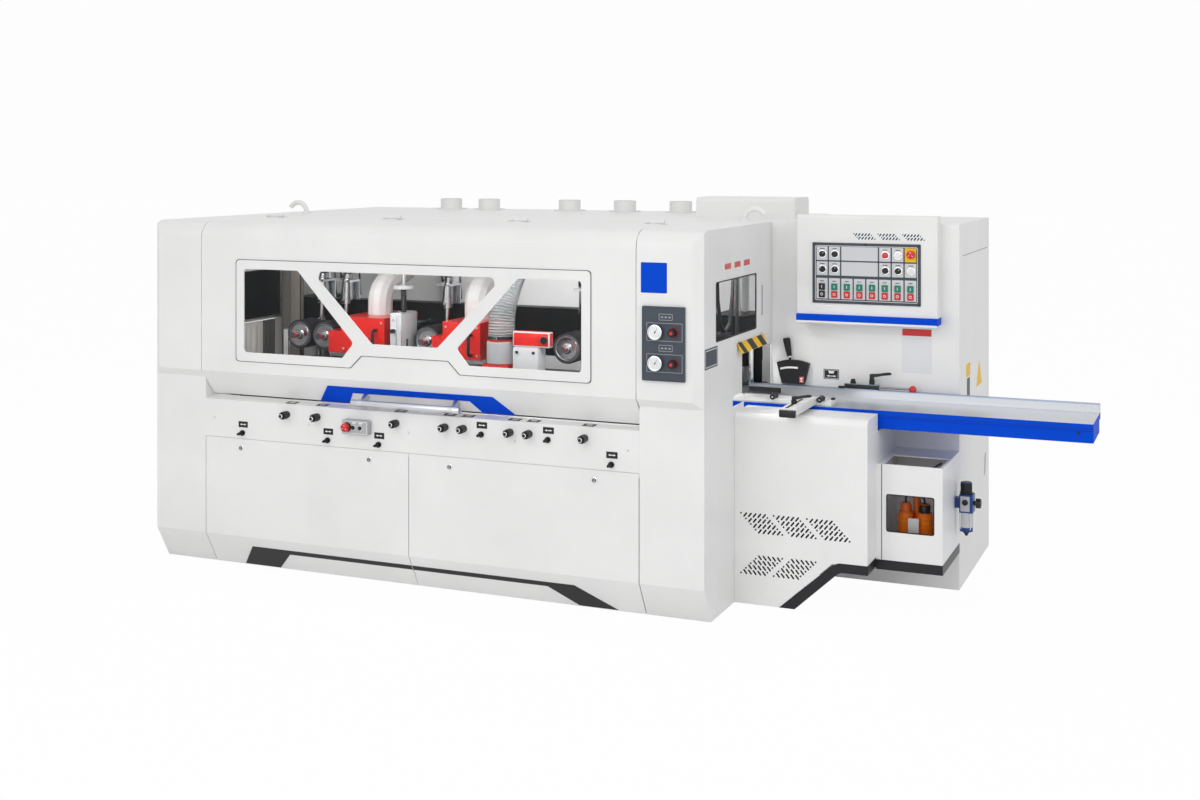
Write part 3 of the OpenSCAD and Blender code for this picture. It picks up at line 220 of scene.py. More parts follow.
def ground_metal(name, colour, rough, streaks=(4, 400, 400), depth=0.04):
    """Bare metal with fine grinding marks; streaks are the noise scales along X, Y and Z."""
    material, tree, shader, where = new_finish(name)
    shader.inputs["Metallic"].default_value = 1.0
    stretch = add_node(tree, "ShaderNodeMapping", Scale=streaks)
    marks = add_node(tree, "ShaderNodeTexNoise", Scale=1.0, Detail=4)
    shade = tree.nodes.new("ShaderNodeValToRGB")
    shade.color_ramp.elements[0].color = (*[c * 0.88 for c in colour], 1)
    shade.color_ramp.elements[1].color = (*[min(1, c * 1.08) for c in colour], 1)
    gloss = add_node(tree, "ShaderNodeMapRange", To_Min=rough * 0.75, To_Max=min(1, rough * 1.3))
    bump = add_node(tree, "ShaderNodeBump", Strength=depth, Distance=0.0005)
    wire(tree, (where, stretch.inputs["Vector"]), (stretch.outputs["Vector"], marks.inputs["Vector"]),
         (marks.outputs["Fac"], shade.inputs["Fac"]), (shade.outputs["Color"], shader.inputs["Base Color"]),
         (marks.outputs["Fac"], gloss.inputs["Value"]),
         (gloss.outputs["Result"], shader.inputs["Roughness"]),
         (marks.outputs["Fac"], bump.inputs["Height"]), (bump.outputs["Normal"], shader.inputs["Normal"]))
    return material


chrome = ground_metal("chrome", (0.78, 0.79, 0.80), 0.12, (60, 60, 60), 0.01)


def add_prism(bm, outline, place, depth, mat=0, base=0.0):
    """A flat piece: its outline in millimetres, from base to depth along the third axis of place."""
    back = [bm.verts.new(place(u, v, base)) for u, v in outline]
    front = [bm.verts.new(place(u, v, depth)) for u, v in outline]
    faces = [bm.faces.new(back[::-1]), bm.faces.new(front)]
    for i, vert in enumerate(back):
        j = (i + 1) % len(back)
        faces.append(bm.faces.new((vert, back[j], front[j], front[i])))
    for face in faces:
        face.material_index = mat


FRONT, UP, DOWN, RIGHT = (0, -1, 0), (0, 0, 1), (0, 0, -1), (1, 0, 0)


def rect(u0, v0, u1, v1):
    """Outline of a plain rectangle."""
    return [(u0, v0), (u1, v0), (u1, v1), (u0, v1)]


def around(count, radius=1.0, first=0.0):
    """Points on a circle about zero, the first of them turned by some degrees."""
    turns = [2 * pi * k / count + radians(first) for k in range(count)]
    return [(radius * cos(a), radius * sin(a)) for a in turns]


def add_turned(bm, start, axis, profile, mat=0, sides=28):
    """A turned piece: profile lists (distance along the axis, radius) in millimetres."""
    axis = Vector(axis).normalized()
    across = axis.orthogonal().normalized()
    other = axis.cross(across)
    start = shop(*start)
    rings = []
    for along, radius in profile:
        centre = start + axis * along / 1000
        if radius == 0:
            rings.append([bm.verts.new(centre)])
            continue
        rings.append([bm.verts.new(centre + (across * u + other * v) * radius / 1000)
                      for u, v in around(sides)])
    faces = []
    for low, high in zip(rings, rings[1:]):
        for k in range(sides):
            n = (k + 1) % sides
            corners = [low[k % len(low)], low[n % len(low)], high[n % len(high)], high[k % len(high)]]
            faces.append(bm.faces.new(list(dict.fromkeys(corners))))
    for ring in (rings[0], rings[-1]):
        if len(ring) > 1:
            faces.append(bm.faces.new(ring))
    for face in faces:
        face.material_index = mat


def settle(elements, spot):
    """Puts points or faces in order of place, because a bevel leaves them in another order each run."""
    rank = {element: place for place, element in enumerate(sorted(elements, key=spot))}
    elements.sort(key=lambda element: rank[element])


def make_piece(name, bm, body, slot_name, *finishes, crease=35, replaces=()):
    """Turns the mesh into a piece of the object that rides on a body."""
    bmesh.ops.recalc_face_normals(bm, faces=bm.faces)
    settle(bm.verts, lambda vert: tuple(vert.co))
    settle(bm.faces, lambda face: tuple(face.calc_center_median()))
    mesh = bpy.data.meshes.new(name)
    bm.to_mesh(mesh)
    bm.free()
    for finish in finishes:
        mesh.materials.append(finish)
    for polygon in mesh.polygons:
        polygon.use_smooth = True
    mesh.set_sharp_from_angle(angle=radians(crease))
    piece = bpy.data.objects.new(name, mesh)
    scene.collection.objects.link(piece)
    if replaces:
        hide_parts(*replaces)
    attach(piece, body)


TOE_DEEP, TOE_HIGH, TOE_TOP = 82, 142, 145
LOCK_Z = 530


def on_toe(x, z, out):
    """A point on the slanted toe of the doors, a little proud of the sheet."""
    lean = atan2(TOE_DEEP, TOE_HIGH)
    return shop(x, TOE_DEEP * (TOE_TOP - z) / TOE_HIGH - out * cos(lean), z - out * sin(lean))


inlay_left = [(-870, 6), (-796, 100), (-2, 100), (-2, 80), (-609, 80), (-686, 6)]
inlay_right = [(2, 100), (738, 100), (906, 6), (738, 6), (616, 80), (2, 80)]
for door, outline in (("door_left", inlay_left), ("door_right", inlay_right)):
    inlay = bmesh.new()
    add_prism(inlay, outline, on_toe, 0.8, base=0.05)
    make_piece(door + "_inlay", inlay, door, "black", black_vinyl)
for lock_x in (-836, -189, 193, 836):
    lock = bmesh.new()
    add_turned(lock, (lock_x, -3, LOCK_Z), FRONT,
               [(0, 13), (2, 12.6), (2.6, 11.5), (2.6, 9), (1.2, 8.4), (1.2, 0)])
    add_turned(lock, (lock_x, -4.2, LOCK_Z), FRONT, [(0, 8), (1.6, 7.6), (1.6, 0)], mat=1)
    for side in (-1, 1):
        add_prism(lock, rect(lock_x + side * 1.5, LOCK_Z - 7, lock_x + side * 3.2, LOCK_Z + 7),
                  lambda u, v, w: shop(u, -5.8 - w, v), 1.2)
    make_piece("door_lock_%d" % lock_x, lock, "door_left" if lock_x < 0 else "door_right", "chrome",
               chrome, black_plastic)

# Control strip: a folded sheet with steel bushed adjusters, lock bolts, a button box and
# small screen printed symbols. Its screws are button heads sunk a little into the paint.
screw_steel = ground_metal("zinc_screw", (0.60, 0.61, 0.62), 0.3, (300, 300, 300))


def repeat(name, spots, shape, finish, body):
    """Sets the shape at every spot with Geometry Nodes and keeps the result as one plain mesh."""
    holder = bpy.data.objects.new(name, bpy.data.meshes.new(name))
    holder.data.from_pydata([tuple(spot) for spot in spots], [], [])
    scene.collection.objects.link(holder)
    pattern_mesh = bpy.data.meshes.new(name + "_shape")
    bmesh.ops.recalc_face_normals(shape, faces=shape.faces)
    shape.to_mesh(pattern_mesh)
    shape.free()
    pattern = bpy.data.objects.new(name + "_shape", pattern_mesh)
    scene.collection.objects.link(pattern)
    tree = bpy.data.node_groups.new(name + "_layout", "GeometryNodeTree")
    tree.interface.new_socket("Spots", in_out="INPUT", socket_type="NodeSocketGeometry")
    tree.interface.new_socket("Pieces", in_out="OUTPUT", socket_type="NodeSocketGeometry")
    entry = tree.nodes.new("NodeGroupInput")
    points = tree.nodes.new("GeometryNodeMeshToPoints")
    source = add_node(tree, "GeometryNodeObjectInfo", Object=pattern)
    copies = tree.nodes.new("GeometryNodeInstanceOnPoints")
    solid = tree.nodes.new("GeometryNodeRealizeInstances")
    tint = add_node(tree, "GeometryNodeSetMaterial", Material=finish)
    leave = tree.nodes.new("NodeGroupOutput")
    wire(tree, (entry.outputs["Spots"], points.inputs["Mesh"]),
         (points.outputs["Points"], copies.inputs["Points"]),
         (source.outputs["Geometry"], copies.inputs["Instance"]),
         (copies.outputs["Instances"], solid.inputs["Geometry"]),
         (solid.outputs["Geometry"], tint.inputs["Geometry"]),
         (tint.outputs["Geometry"], leave.inputs["Pieces"]))
    layout = holder.modifiers.new("layout", "NODES")
    layout.node_group = tree
    made = bpy.data.meshes.new_from_object(holder.evaluated_get(bpy.context.evaluated_depsgraph_get()))
    holder.modifiers.remove(layout)
    holder.data = made
    for polygon in made.polygons:
        polygon.use_smooth = True
    made.set_sharp_from_angle(angle=radians(35))
    bpy.data.objects.remove(pattern)
    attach(holder, body)


def button_head(facing, radius=4.2):
    """A button head screw at the origin, with its socket, facing out along an axis."""
    bm = bmesh.new()
    add_turned(bm, (0, 0, 0), facing,
               [(-1, radius), (0.2, radius), (1.5, radius * 0.8), (2.0, radius * 0.5),
                (1.2, radius * 0.42), (1.2, 0)], sides=12)
    bmesh.ops.translate(bm, vec=-shop(0, 0, 0), verts=bm.verts)
    return bm


repeat("strip_screws", [shop(x, 0, 656) for x in (-976, -488, 0, 489, 977)],
       button_head(FRONT, 5.0), screw_steel, "machine")
symbol_white = coat("symbol_white", (0.82, 0.82, 0.80), 0.5, peel=0)
label_black = coat("label_black", (0.016, 0.016, 0.018), 0.45, peel=0)


def on_front(y):
    """Places flat pieces on an upright plane that faces the doors."""
    return lambda u, v, w: shop(u, y - w, v)


def add_arrows(bm, place, u, v, length, mat):
    """Two plain printed arrows that point away from each other along u."""
    for way in (1, -1):
        tip = u + way * length
        neck = u + way * length * 0.45
        outline = [(u, v - 1.6), (neck, v - 1.6), (neck, v - 4.2), (tip, v), (neck, v + 4.2),
                   (neck, v + 1.6), (u, v + 1.6)]
        add_prism(bm, outline[::way], place, 0.9, mat, base=0.4)


adjuster_x = (-595, -441, -56, 175, 260, 471, 555, 797)
lock_spots = ((-828, 596), (-393, 596), (-143, 596), (338, 673), (635, 673), (908, 596))
LEDGE_RISE, LEDGE_DEEP, LEDGE_Z = 10, 64, 735
ADJUSTER_Z, BUTTON_Z = 692, 665


def on_ledge(x, t, out):
    """A point on the sloping ledge on top of the strip, t millimetres back from its front edge."""
    rise = atan2(LEDGE_RISE, LEDGE_DEEP)
    return shop(x, t * cos(rise) - out * sin(rise), LEDGE_Z + t * sin(rise) + out * cos(rise))


labels = bmesh.new()
for x in adjuster_x:
    add_prism(labels, [(x - 22, 10), (x + 30, 10), (x + 36, 38), (x - 16, 38)], on_ledge, 0.5, 0, base=0.05)
    add_prism(labels, [(x - 8, 19), (x + 20, 19), (x + 21, 23), (x - 7, 23)], on_ledge, 0.8, 1, base=0.4)
    add_prism(labels, [(x - 6, 27), (x + 22, 27), (x + 23, 31), (x - 5, 31)], on_ledge, 0.8, 1, base=0.4)
for x, z in lock_spots:
    add_prism(labels, rect(x - 22, z + 24, x + 26, z + 50), on_front(0), 0.5, 0, base=0.05)
    add_arrows(labels, on_front(0), x + 2, z + 37, 16, 1)
make_piece("strip_labels", labels, "machine", "black", label_black, symbol_white)
paint(black_plastic, *["adjuster_%d" % k for k in range(1, 9)])
paint(coat("blued_bolts", (0.02, 0.02, 0.022), 0.3, peel=0.02, metallic=0.6), "lock_bolts")

for number, x in enumerate(adjuster_x, 1):
    grip = bmesh.new()
    for u, v in around(10, 14.6):
        add_turned(grip, (x + u, -44, ADJUSTER_Z + v), (0, 1, 0),
                   [(0, 0), (0.8, 2.2), (34, 2.2), (35, 0)], sides=8)
    add_turned(grip, (x, -52, ADJUSTER_Z), FRONT,
               [(0, 9.4), (5, 9.4), (6, 8.6), (6, 5.4), (2, 5), (2, 0)], 1, 20)
    make_piece("adjuster_%d_grip" % number, grip, "adjuster_%d" % number, "plastic", black_plastic, chrome)

box_grey = coat("button_box_grey", (0.42, 0.43, 0.45), 0.45, peel=0.04)
stop_red = coat("stop_red", (0.60, 0.012, 0.010), 0.25, peel=0.01, gloss_coat=0.4)


def rounded_rect(u0, v0, u1, v1, radius, steps=4):
    """Outline of a plate with round corners."""
    points = []
    for cu, cv, first in ((u1 - radius, v1 - radius, 0), (u0 + radius, v1 - radius, 90),
                          (u0 + radius, v0 + radius, 180), (u1 - radius, v0 + radius, 270)):
        for k in range(steps + 1):
            a = radians(first + 90 * k / steps)
            points.append((cu + radius * cos(a), cv + radius * sin(a)))
    return points


def add_frame(bm, outer, inner, place, depth, mat=0, base=0.0):
    """A flat ring between two outlines with the same number of points."""
    count = len(outer)
    rings = [[bm.verts.new(place(u, v, w)) for u, v in line]
             for line, w in ((outer, base), (outer, depth), (inner, depth), (inner, base))]
    for low, high in zip(rings, rings[1:] + rings[:1]):
        for i in range(count):
            j = (i + 1) % count
            bm.faces.new((low[i], low[j], high[j], high[i])).material_index = mat


def add_border(bm, box, radius, width, inner_radius, place, depth, mat=0, base=0.0, steps=4):
    """A flat ring of even width inside a plate's round cornered outline."""
    u0, v0, u1, v1 = box
    add_frame(bm, rounded_rect(u0, v0, u1, v1, radius, steps),
              rounded_rect(u0 + width, v0 + width, u1 - width, v1 - width, inner_radius, steps),
              place, depth, mat, base)


button_box = bmesh.new()
add_prism(button_box, rounded_rect(-303, 635, -178, 695, 5), on_front(-30), 1.5, 0, base=-29.9)
add_border(button_box, (-299, 639, -182, 691), 4, 2, 3, on_front(-31.5), 0.6, 1)
add_turned(button_box, (-278, -31.5, BUTTON_Z), FRONT,
           [(0, 20), (0.4, 20), (0.9, 19), (0.9, 9), (0, 9)], 2)
for x in (-245, -212):
    add_turned(button_box, (x, -31.5, BUTTON_Z), FRONT, [(0, 12), (3, 12), (4, 11), (4, 9.3)], 3)
    add_turned(button_box, (x, -31.5, BUTTON_Z), FRONT, [(3, 9), (7.5, 9), (8.5, 8), (8.2, 0)], 2)
    add_prism(button_box, rect(x - 9, 681, x + 9, 687), on_front(-31.5), 0.4, 1)
make_piece("button_box", button_box, "machine", "grey", box_grey, symbol_white, black_plastic, chrome)


def stop_button(name, x, y, z, body):
    """A mushroom head with its twist ribs, over the plain CAD head."""
    bm = bmesh.new()
    add_turned(bm, (x, y - 10, z), FRONT,
               [(-1, 8.5), (0, 15), (2, 17.6), (9, 17.6), (13, 16.6), (16.6, 12), (17.4, 0)], sides=32)
    for u, v in around(3, 6, 90):
        add_turned(bm, (x + u, y - 27, z + v), (u, 0, v), [(0, 0), (0.6, 1.1), (6, 1.1), (6.6, 0)], 1, 8)
    make_piece(name, bm, body, "red_plastic", stop_red, symbol_white)


stop_button("front_stop_head", -278, -30, BUTTON_Z, "front_estop")
paint(stop_red, "front_estop", "panel_estop")

# Hood: folded white shell with a screwed window frame, clear panes behind it, a blue
# aluminium trim on the slanted band and a brushed tube handle on two brackets.
BELT_Y, LIP_Y, LIP_Z = -32, 54, 753
BAND_LEAN = atan2(LIP_Y - BELT_Y, 863 - LIP_Z)
HINGE_Y, HINGE_Z = 438.5, 1518


def on_band(u, v, w):
    """A point v up the slanted band from the hood's lower edge, w proud of it."""
    return shop(u, LIP_Y - v * sin(BAND_LEAN) - w * cos(BAND_LEAN),
                LIP_Z + v * cos(BAND_LEAN) - w * sin(BAND_LEAN))


def clear_sheet(name, colour, alpha, rough):
    """Clear plastic with faint wiping marks that show in its gloss."""
    material, tree, shader, where = new_finish(name)
    shader.inputs["Base Color"].default_value = (*colour, 1)
    shader.inputs["Alpha"].default_value = alpha
    shader.inputs["Specular IOR Level"].default_value = 0.08
    smear = add_node(tree, "ShaderNodeTexNoise", Scale=9, Detail=6)
    gloss = add_node(tree, "ShaderNodeMapRange", To_Min=rough * 0.6, To_Max=rough * 1.6)
    wire(tree, (where, smear.inputs["Vector"]),
         (smear.outputs["Fac"], gloss.inputs["Value"]),
         (gloss.outputs["Result"], shader.inputs["Roughness"]))
    return material


paint(clear_sheet("clear_pane", (0.30, 0.33, 0.34), 0.02, 0.05), "hood_pane", "side_window")
blue_paint = coat("blue_powder_coat", (0.0, 0.062, 0.60), 0.5, mottle=0.05)
blue_paint.node_tree.nodes["Principled BSDF"].inputs["Specular IOR Level"].default_value = 0.06
trim = bmesh.new()
add_prism(trim, [(-463, 1), (-391, 96), (391, 96), (463, 1), (318, 1), (278, 64), (-278, 64), (-318, 1)],
          on_band, 4)
make_piece("handle_trim", trim, "hood", "blue", blue_paint, replaces=("hood_handle",))
handle_silver = ground_metal("satin_handle", (0.62, 0.63, 0.66), 0.34, (3, 300, 300), 0.02)
handle = bmesh.new()
add_turned(handle, (-256, -30, 768), RIGHT,
           [(0, 0), (0, 10), (1.5, 13), (4, 14), (508, 14), (510.5, 13), (512, 10), (512, 0)], 0, 32)
for x in (-215, 215):
    bracket = [(-24, 757), (-18, 778), (14, 802), (33, 776)]
    add_prism(handle, bracket, lambda u, v, w, x=x: shop(x - 8 + w, u, v), 16)
    add_turned(handle, (x - 11, -30, 768), RIGHT, [(0, 14.4), (1, 15.2), (21, 15.2), (22, 14.4)], 0, 32)
make_piece("handle_bar", handle, "hood", "chrome", handle_silver)
hinge_x = [i * 630 - 25 for i in (-1.5, -0.5, 0.5, 1.5)]
repeat("hinge_screws_hood", [shop(x + s, HINGE_Y - 26, HINGE_Z) for x in hinge_x for s in (-32, 0, 32)],
       button_head(UP, 4.0), white_coat, "hood")
# Black button heads on the roof leaves paint the shadows of the hinge knuckles and holes.
repeat("hinge_screws_roof", [shop(x + s, HINGE_Y + 26, HINGE_Z) for x in hinge_x for s in (-27, 27)],
       button_head(UP, 7.5), label_black, "machine")
# A thin dark ring round the window frame paints the shadow along the frame's edge on the hood.
frame_shadow_paint = coat("frame_edge_shadow", (0.10, 0.10, 0.105), 0.7, peel=0)


def round_corners(points, radius):
    """The outline with an arc of five points at each corner."""
    line = []
    for i, spot in enumerate(points):
        here = Vector(spot)
        a, b = [(Vector(points[j % len(points)]) - here).normalized() for j in (i - 1, i + 1)]
        half = a.angle(b) / 2
        centre = here + (a + b).normalized() * radius / sin(half)
        start, end = [here + way * radius / tan(half) for way in (a, b)]
        line += [tuple(centre + (start.lerp(end, k / 4) - centre).normalized() * radius) for k in range(5)]
    return line


frame_shadow_ring = bmesh.new()
frame_shadow_outer = [(-840, 912), (-840, 1353.4), (836.4, 1353.4), (836.4, 912), (255, 912), (202, 965),
              (-206, 965), (-259, 912)]
frame_shadow_inner = [(-833, 916), (-833, 1350.5), (833.5, 1350.5), (833.5, 916), (261, 916), (208, 969),
              (-208, 969), (-261, 916)]
add_frame(frame_shadow_ring, round_corners(frame_shadow_outer, 15), round_corners(frame_shadow_inner, 13),
          on_front(BELT_Y), 2.5, base=0.02)
make_piece("frame_seam", frame_shadow_ring, "hood", "dark", frame_shadow_paint)
repeat("frame_screws", [shop(x, -38, 1332) for x in (-816, -560, -300, 300, 560, 816)]
       + [shop(x, -38, 935) for x in (-816, -560, 560, 816)],
       button_head(FRONT, 3.4), white_coat, "hood")

# Right end: air gauge plate with two dials and two pull-turn regulators, a plain blue
# badge, a thin black edge that paints the shade round the side window and the striped flap over the infeed
# mouth.
slate_paint = coat("slate_plate", (0.055, 0.066, 0.085), 0.5, mottle=0.06, peel=0.05)
line_white = coat("printed_white", (0.78, 0.78, 0.76), 0.5, peel=0)
paint(slate_paint, "gauge_panel")
END_X, GAUGE_Y, DIAL_X, KNOB_X = 1290, -44, 1112, 1183
badge = bmesh.new()
add_prism(badge, rounded_rect(1044, 1275, 1151, 1392, 3), on_front(BELT_Y), 0.8, base=0.05)
make_piece("blue_badge", badge, "machine", "blue", blue_paint)
dial_white = coat("dial_white", (0.86, 0.86, 0.84), 0.35, mottle=0.01, peel=0)
gauge = bmesh.new()
add_border(gauge, (1053, 940, 1226, 1225), 10, 4, 8, on_front(GAUGE_Y), 1.2, 0)
for z in (1128, 1009):
    add_turned(gauge, (DIAL_X, -57, z), FRONT, [(0, 27.5), (5, 29.5), (8, 29), (8.6, 26), (3, 25)], 2, 40)
    add_turned(gauge, (DIAL_X, -57, z), FRONT, [(1, 25), (2.4, 25), (2.4, 0)], 3, 40)
    for k in range(11):
        a = radians(225 - 27 * k)
        cu, cv = cos(a), sin(a)
        place = (lambda u, v, w, z=z, cu=cu, cv=cv:
                 shop(DIAL_X + u * cu - v * cv, -59.4 - w, z + u * cv + v * cu))
        add_prism(gauge, rect(17, -0.7, 22, 0.7), place, 0.4, 4)
    place = (lambda u, v, w, z=z:
             shop(DIAL_X + (u * 0.5 - v * 0.866), -59.8 - w, z + (u * 0.866 + v * 0.5)))
    add_prism(gauge, [(-6, -1.2), (18, -0.4), (18, 0.4), (-6, 1.2)], place, 0.5, 4)
    add_turned(gauge, (DIAL_X, -59.6, z), FRONT, [(0, 3), (1.4, 2.6), (1.4, 0)], 4, 16)
    for frame_box in ((1072, z - 35, 1218, z + 35), (1122, z + 45, 1178, z + 70)):
        add_border(gauge, frame_box, 3, 2, 2, on_front(GAUGE_Y), 0.5, 1)
    for k in range(3):
        add_prism(gauge, rect(1131 + 15 * k, z + 54, 1140 + 15 * k, z + 60), on_front(GAUGE_Y), 0.5, 1)
make_piece("gauge_dials", gauge, "machine", "slate", slate_paint,
           coat("frame_grey", (0.34, 0.35, 0.37), 0.5, peel=0), chrome, dial_white, label_black)
for knob_name, z in (("regulator_knob_upper", 1128), ("regulator_knob_lower", 1009)):
    knob = bmesh.new()
    add_turned(knob, (KNOB_X, -45, z), FRONT, [(0, 18.3), (6, 18.3), (7, 17.5)], 1, 32)
    add_turned(knob, (KNOB_X, -52, z), FRONT,
               [(0, 15), (1, 16), (20, 15.2), (25, 14.4), (26.5, 11), (25.4, 9.5), (25.4, 0)], 0, 32)
    for u, v in around(16, 15.6):
        add_turned(knob, (KNOB_X + u, -54, z + v), FRONT, [(0, 0), (0.6, 1.2), (17, 1.2), (18, 0)], 0, 6)
    add_turned(knob, (KNOB_X, -77.5, z), FRONT, [(0, 7), (0.6, 6.6), (0.6, 0)], 1, 24)
    make_piece(knob_name + "_cap", knob, knob_name, "plastic", black_plastic, stop_red)
paint(black_plastic, "regulator_knob_upper", "regulator_knob_lower")
rubber = coat("black_rubber", (0.02, 0.02, 0.021), 0.7, peel=0.12, peel_scale=500)
hazard_yellow = coat("hazard_yellow", (0.86, 0.52, 0.008), 0.5, peel=0.02)


def on_side(x):
    """Places flat pieces on an upright plane that faces the infeed."""
    return lambda u, v, w: shop(x + w, u, v)


# The thin black edge round the side window paints the shade inside its deep frame.
edge = bmesh.new()
add_border(edge, (138.5, 1074.5, 669.5, 1308.5), 9, 4.5, 8, on_side(END_X), 1.5, 0, base=-4)
make_piece("side_window_edge", edge, "machine", "rubber", rubber)
flap = bmesh.new()


def on_flap(u, v, w):
    """The flap hangs from the top of the mouth and leans out at its foot."""
    lean = radians(20)
    return shop(1292 + v * sin(lean) + w * cos(lean), u, 1042 - v * cos(lean) + w * sin(lean))


add_prism(flap, rect(404, 0, 764, 46), on_flap, 2.0, 0)
for first, last in ((404, 452), (520, 592), (660, 724)):
    add_prism(flap, [(first, 0), (last, 0), (last + 40, 46), (first + 40, 46)], on_flap, 2.5, 1, base=1.9)
for x in (430, 740):
    add_turned(flap, (END_X, x, 1046), RIGHT, [(0, 6), (3, 6), (4.5, 4), (4.5, 0)], 2, 16)
make_piece("mouth_flap", flap, "machine", "black", hazard_yellow, label_black, screw_steel)
plates = bmesh.new()
add_prism(plates, rounded_rect(6, 983, 158, 1061, 4), on_side(END_X), 1.0, 0, base=0.05)
add_border(plates, (12, 989, 152, 1055), 3, 3, 2, on_side(1291), 0.4, 1)
for k in range(3):
    u0 = 243 + 124 * k
    add_prism(plates, rounded_rect(u0, 1310, u0 + 86, 1376, 3), on_side(END_X), 0.8, 1, base=0.05)
    add_prism(plates, rounded_rect(u0 + 3, 1350, u0 + 83, 1373, 2), on_side(1290.8), 0.4, 2)
add_prism(plates, rect(749, 1123, 757, 1251), on_side(END_X), 0.6, 3, base=0.05)
make_piece("side_plates", plates, "machine", "grey", slate_paint, line_white, stop_red, label_black)

# Inside the hood: the cast bed, black feed beam with its rollers and air cylinders, red
# chip hoods, white ducts and the clear hose. All of it shows through the windows.
cast_grey = coat("bed_casting", (0.10, 0.10, 0.105), 0.6, mottle=0.1, peel=0.1, peel_scale=180)
beam_black = coat("beam_black", (0.005, 0.005, 0.0055), 0.4, peel=0.03)
beam_black.node_tree.nodes["Principled BSDF"].inputs["Specular IOR Level"].default_value = 0.12
hood_red = coat("chip_hood_red", (0.66, 0.016, 0.012), 0.28, peel=0.02, gloss_coat=0.3)
motor_grey = coat("motor_grey", (0.14, 0.16, 0.19), 0.5, peel=0.05)
cylinder_steel = ground_metal("cylinder_steel", (0.62, 0.63, 0.65), 0.25, (200, 200, 12), 0.03)
hub_steel = ground_metal("hub_steel", (0.46, 0.47, 0.49), 0.24, (220, 220, 220), 0.03)
roller_dark = ground_metal("roller_steel", (0.16, 0.16, 0.17), 0.42, (200, 20, 200), 0.05)
cutter_steel = ground_metal("cutterhead_steel", (0.55, 0.56, 0.58), 0.3, (250, 14, 250), 0.05)
paint(cast_grey, "machine_bed")
paint(beam_black, "feed_beam")
paint(hood_red, "dust_hoods")
paint(coat("duct_white", (0.66, 0.66, 0.65), 0.4), "dust_ducts")
block_grey = coat("block_grey", (0.56, 0.57, 0.585), 0.42)
paint(motor_grey, "spindle_motors")
paint(cylinder_steel, "press_units")
paint(roller_dark, *["feed_roller_%d" % k for k in range(1, 5)])
paint(cutter_steel, "spindle_top_last", "spindle_top_first", "spindle_left", "spindle_right",
      "spindle_bottom")


def add_box(bm, low, high, mat=0, ease=0.0):
    """A box between two corners in millimetres, with its edges eased."""
    a, b = shop(*low), shop(*high)
    size = b - a
    made = bmesh.ops.create_cube(bm, size=1,
                                 matrix=Matrix.Translation((a + b) / 2) @ Matrix.Diagonal((*size, 1)))
    for face in {f for v in made["verts"] for f in v.link_faces}:
        face.material_index = mat
    if ease:
        edges = list(dict.fromkeys(e for v in made["verts"] for e in v.link_edges))
        bmesh.ops.bevel(bm, geom=edges, offset=ease / 1000, segments=2, profile=0.5, affect="EDGES")


def add_tube(bm, points, radius, mat=0, sides=12):
    """A round bar or hose along points in millimetres; radius is one value or one per point."""
    spots = [shop(*p) for p in points]
    radii = radius if isinstance(radius, (list, tuple)) else [radius] * len(spots)
    across = None
    rings = []
    for i, spot in enumerate(spots):
        way = (spots[min(i + 1, len(spots) - 1)] - spots[max(i - 1, 0)]).normalized()
        across = way.orthogonal() if across is None else across - way * across.dot(way)
        across.normalize()
        other = way.cross(across)
        rings.append([bm.verts.new(spot + (across * u + other * v) * radii[i] / 1000)
                      for u, v in around(sides)])
    for low, high in zip(rings, rings[1:]):
        for k in range(sides):
            n = (k + 1) % sides
            bm.faces.new((low[k], low[n], high[n], high[k])).material_index = mat
    for ring in (rings[0], rings[-1]):
        bm.faces.new(ring).material_index = mat


roller_x = (-972, -832, -276, 428)
ROLLER_Z = 950
for number, x in enumerate(roller_x, 1):
    face = bmesh.new()
    add_turned(face, (x, 641, ROLLER_Z), FRONT,
               [(0, 54), (2.5, 54), (4, 52.5), (3, 49), (-4, 44), (-12, 33), (-14.5, 25)], 0, 48)
    add_turned(face, (x, 656, ROLLER_Z), FRONT,
               [(0, 27), (16, 25), (19, 21), (27, 19), (29, 13), (54, 7.5), (55, 7)], 0, 32)
    add_turned(face, (x, 602, ROLLER_Z), FRONT, [(0, 9), (1, 15.5), (15, 15.5), (18, 13), (19, 0)], 2, 24)
    for u, v in around(5, 41):
        add_turned(face, (x + u, 648, ROLLER_Z + v), FRONT, [(0, 5), (5, 5), (5.8, 4), (5.8, 0)], 1, 6)
    add_turned(face, (x, 759, ROLLER_Z), FRONT,
               [(0, 60), (0, 67), (2, 68.4), (114, 68.4), (117, 66), (117.5, 53)], 3, 48)
    make_piece("roller_%d_face" % number, face, "feed_roller_%d" % number, "chrome",
               hub_steel, black_plastic, hood_red, rubber)
    cylinder = bmesh.new()
    for z in (1083, 1206):
        add_turned(cylinder, (x, 835, z), UP, [(0, 26), (2, 28), (22, 28), (24, 26)], 0, 28)
    for z in (1094, 1218):
        add_turned(cylinder, (x, 808, z), FRONT, [(0, 6), (8, 6), (9, 8), (20, 8), (21, 6.5)], 1, 14)
    add_tube(cylinder, [(x, 790, 1094), (x + 6, 776, 1110), (x + 14, 780, 1180), (x + 20, 800, 1260),
                        (x + 26, 860, 1300), (x + 30, 900, 1250), (x + 30, 915, 1120)], 4, 1, 8)
    add_tube(cylinder, [(x, 788, 1218), (x + 2, 776, 1240), (x - 8, 800, 1290), (x - 20, 870, 1310),
                        (x - 24, 910, 1240), (x - 24, 915, 1120)], 4, 1, 8)
    add_turned(cylinder, (x, 835, 995), UP, [(0, 20), (4, 22), (16, 22), (20, 15), (24, 12.5)], 0, 6)
    make_piece("cylinder_%d_fittings" % number, cylinder, "feed_beam", "plastic",
               cylinder_steel, black_plastic)

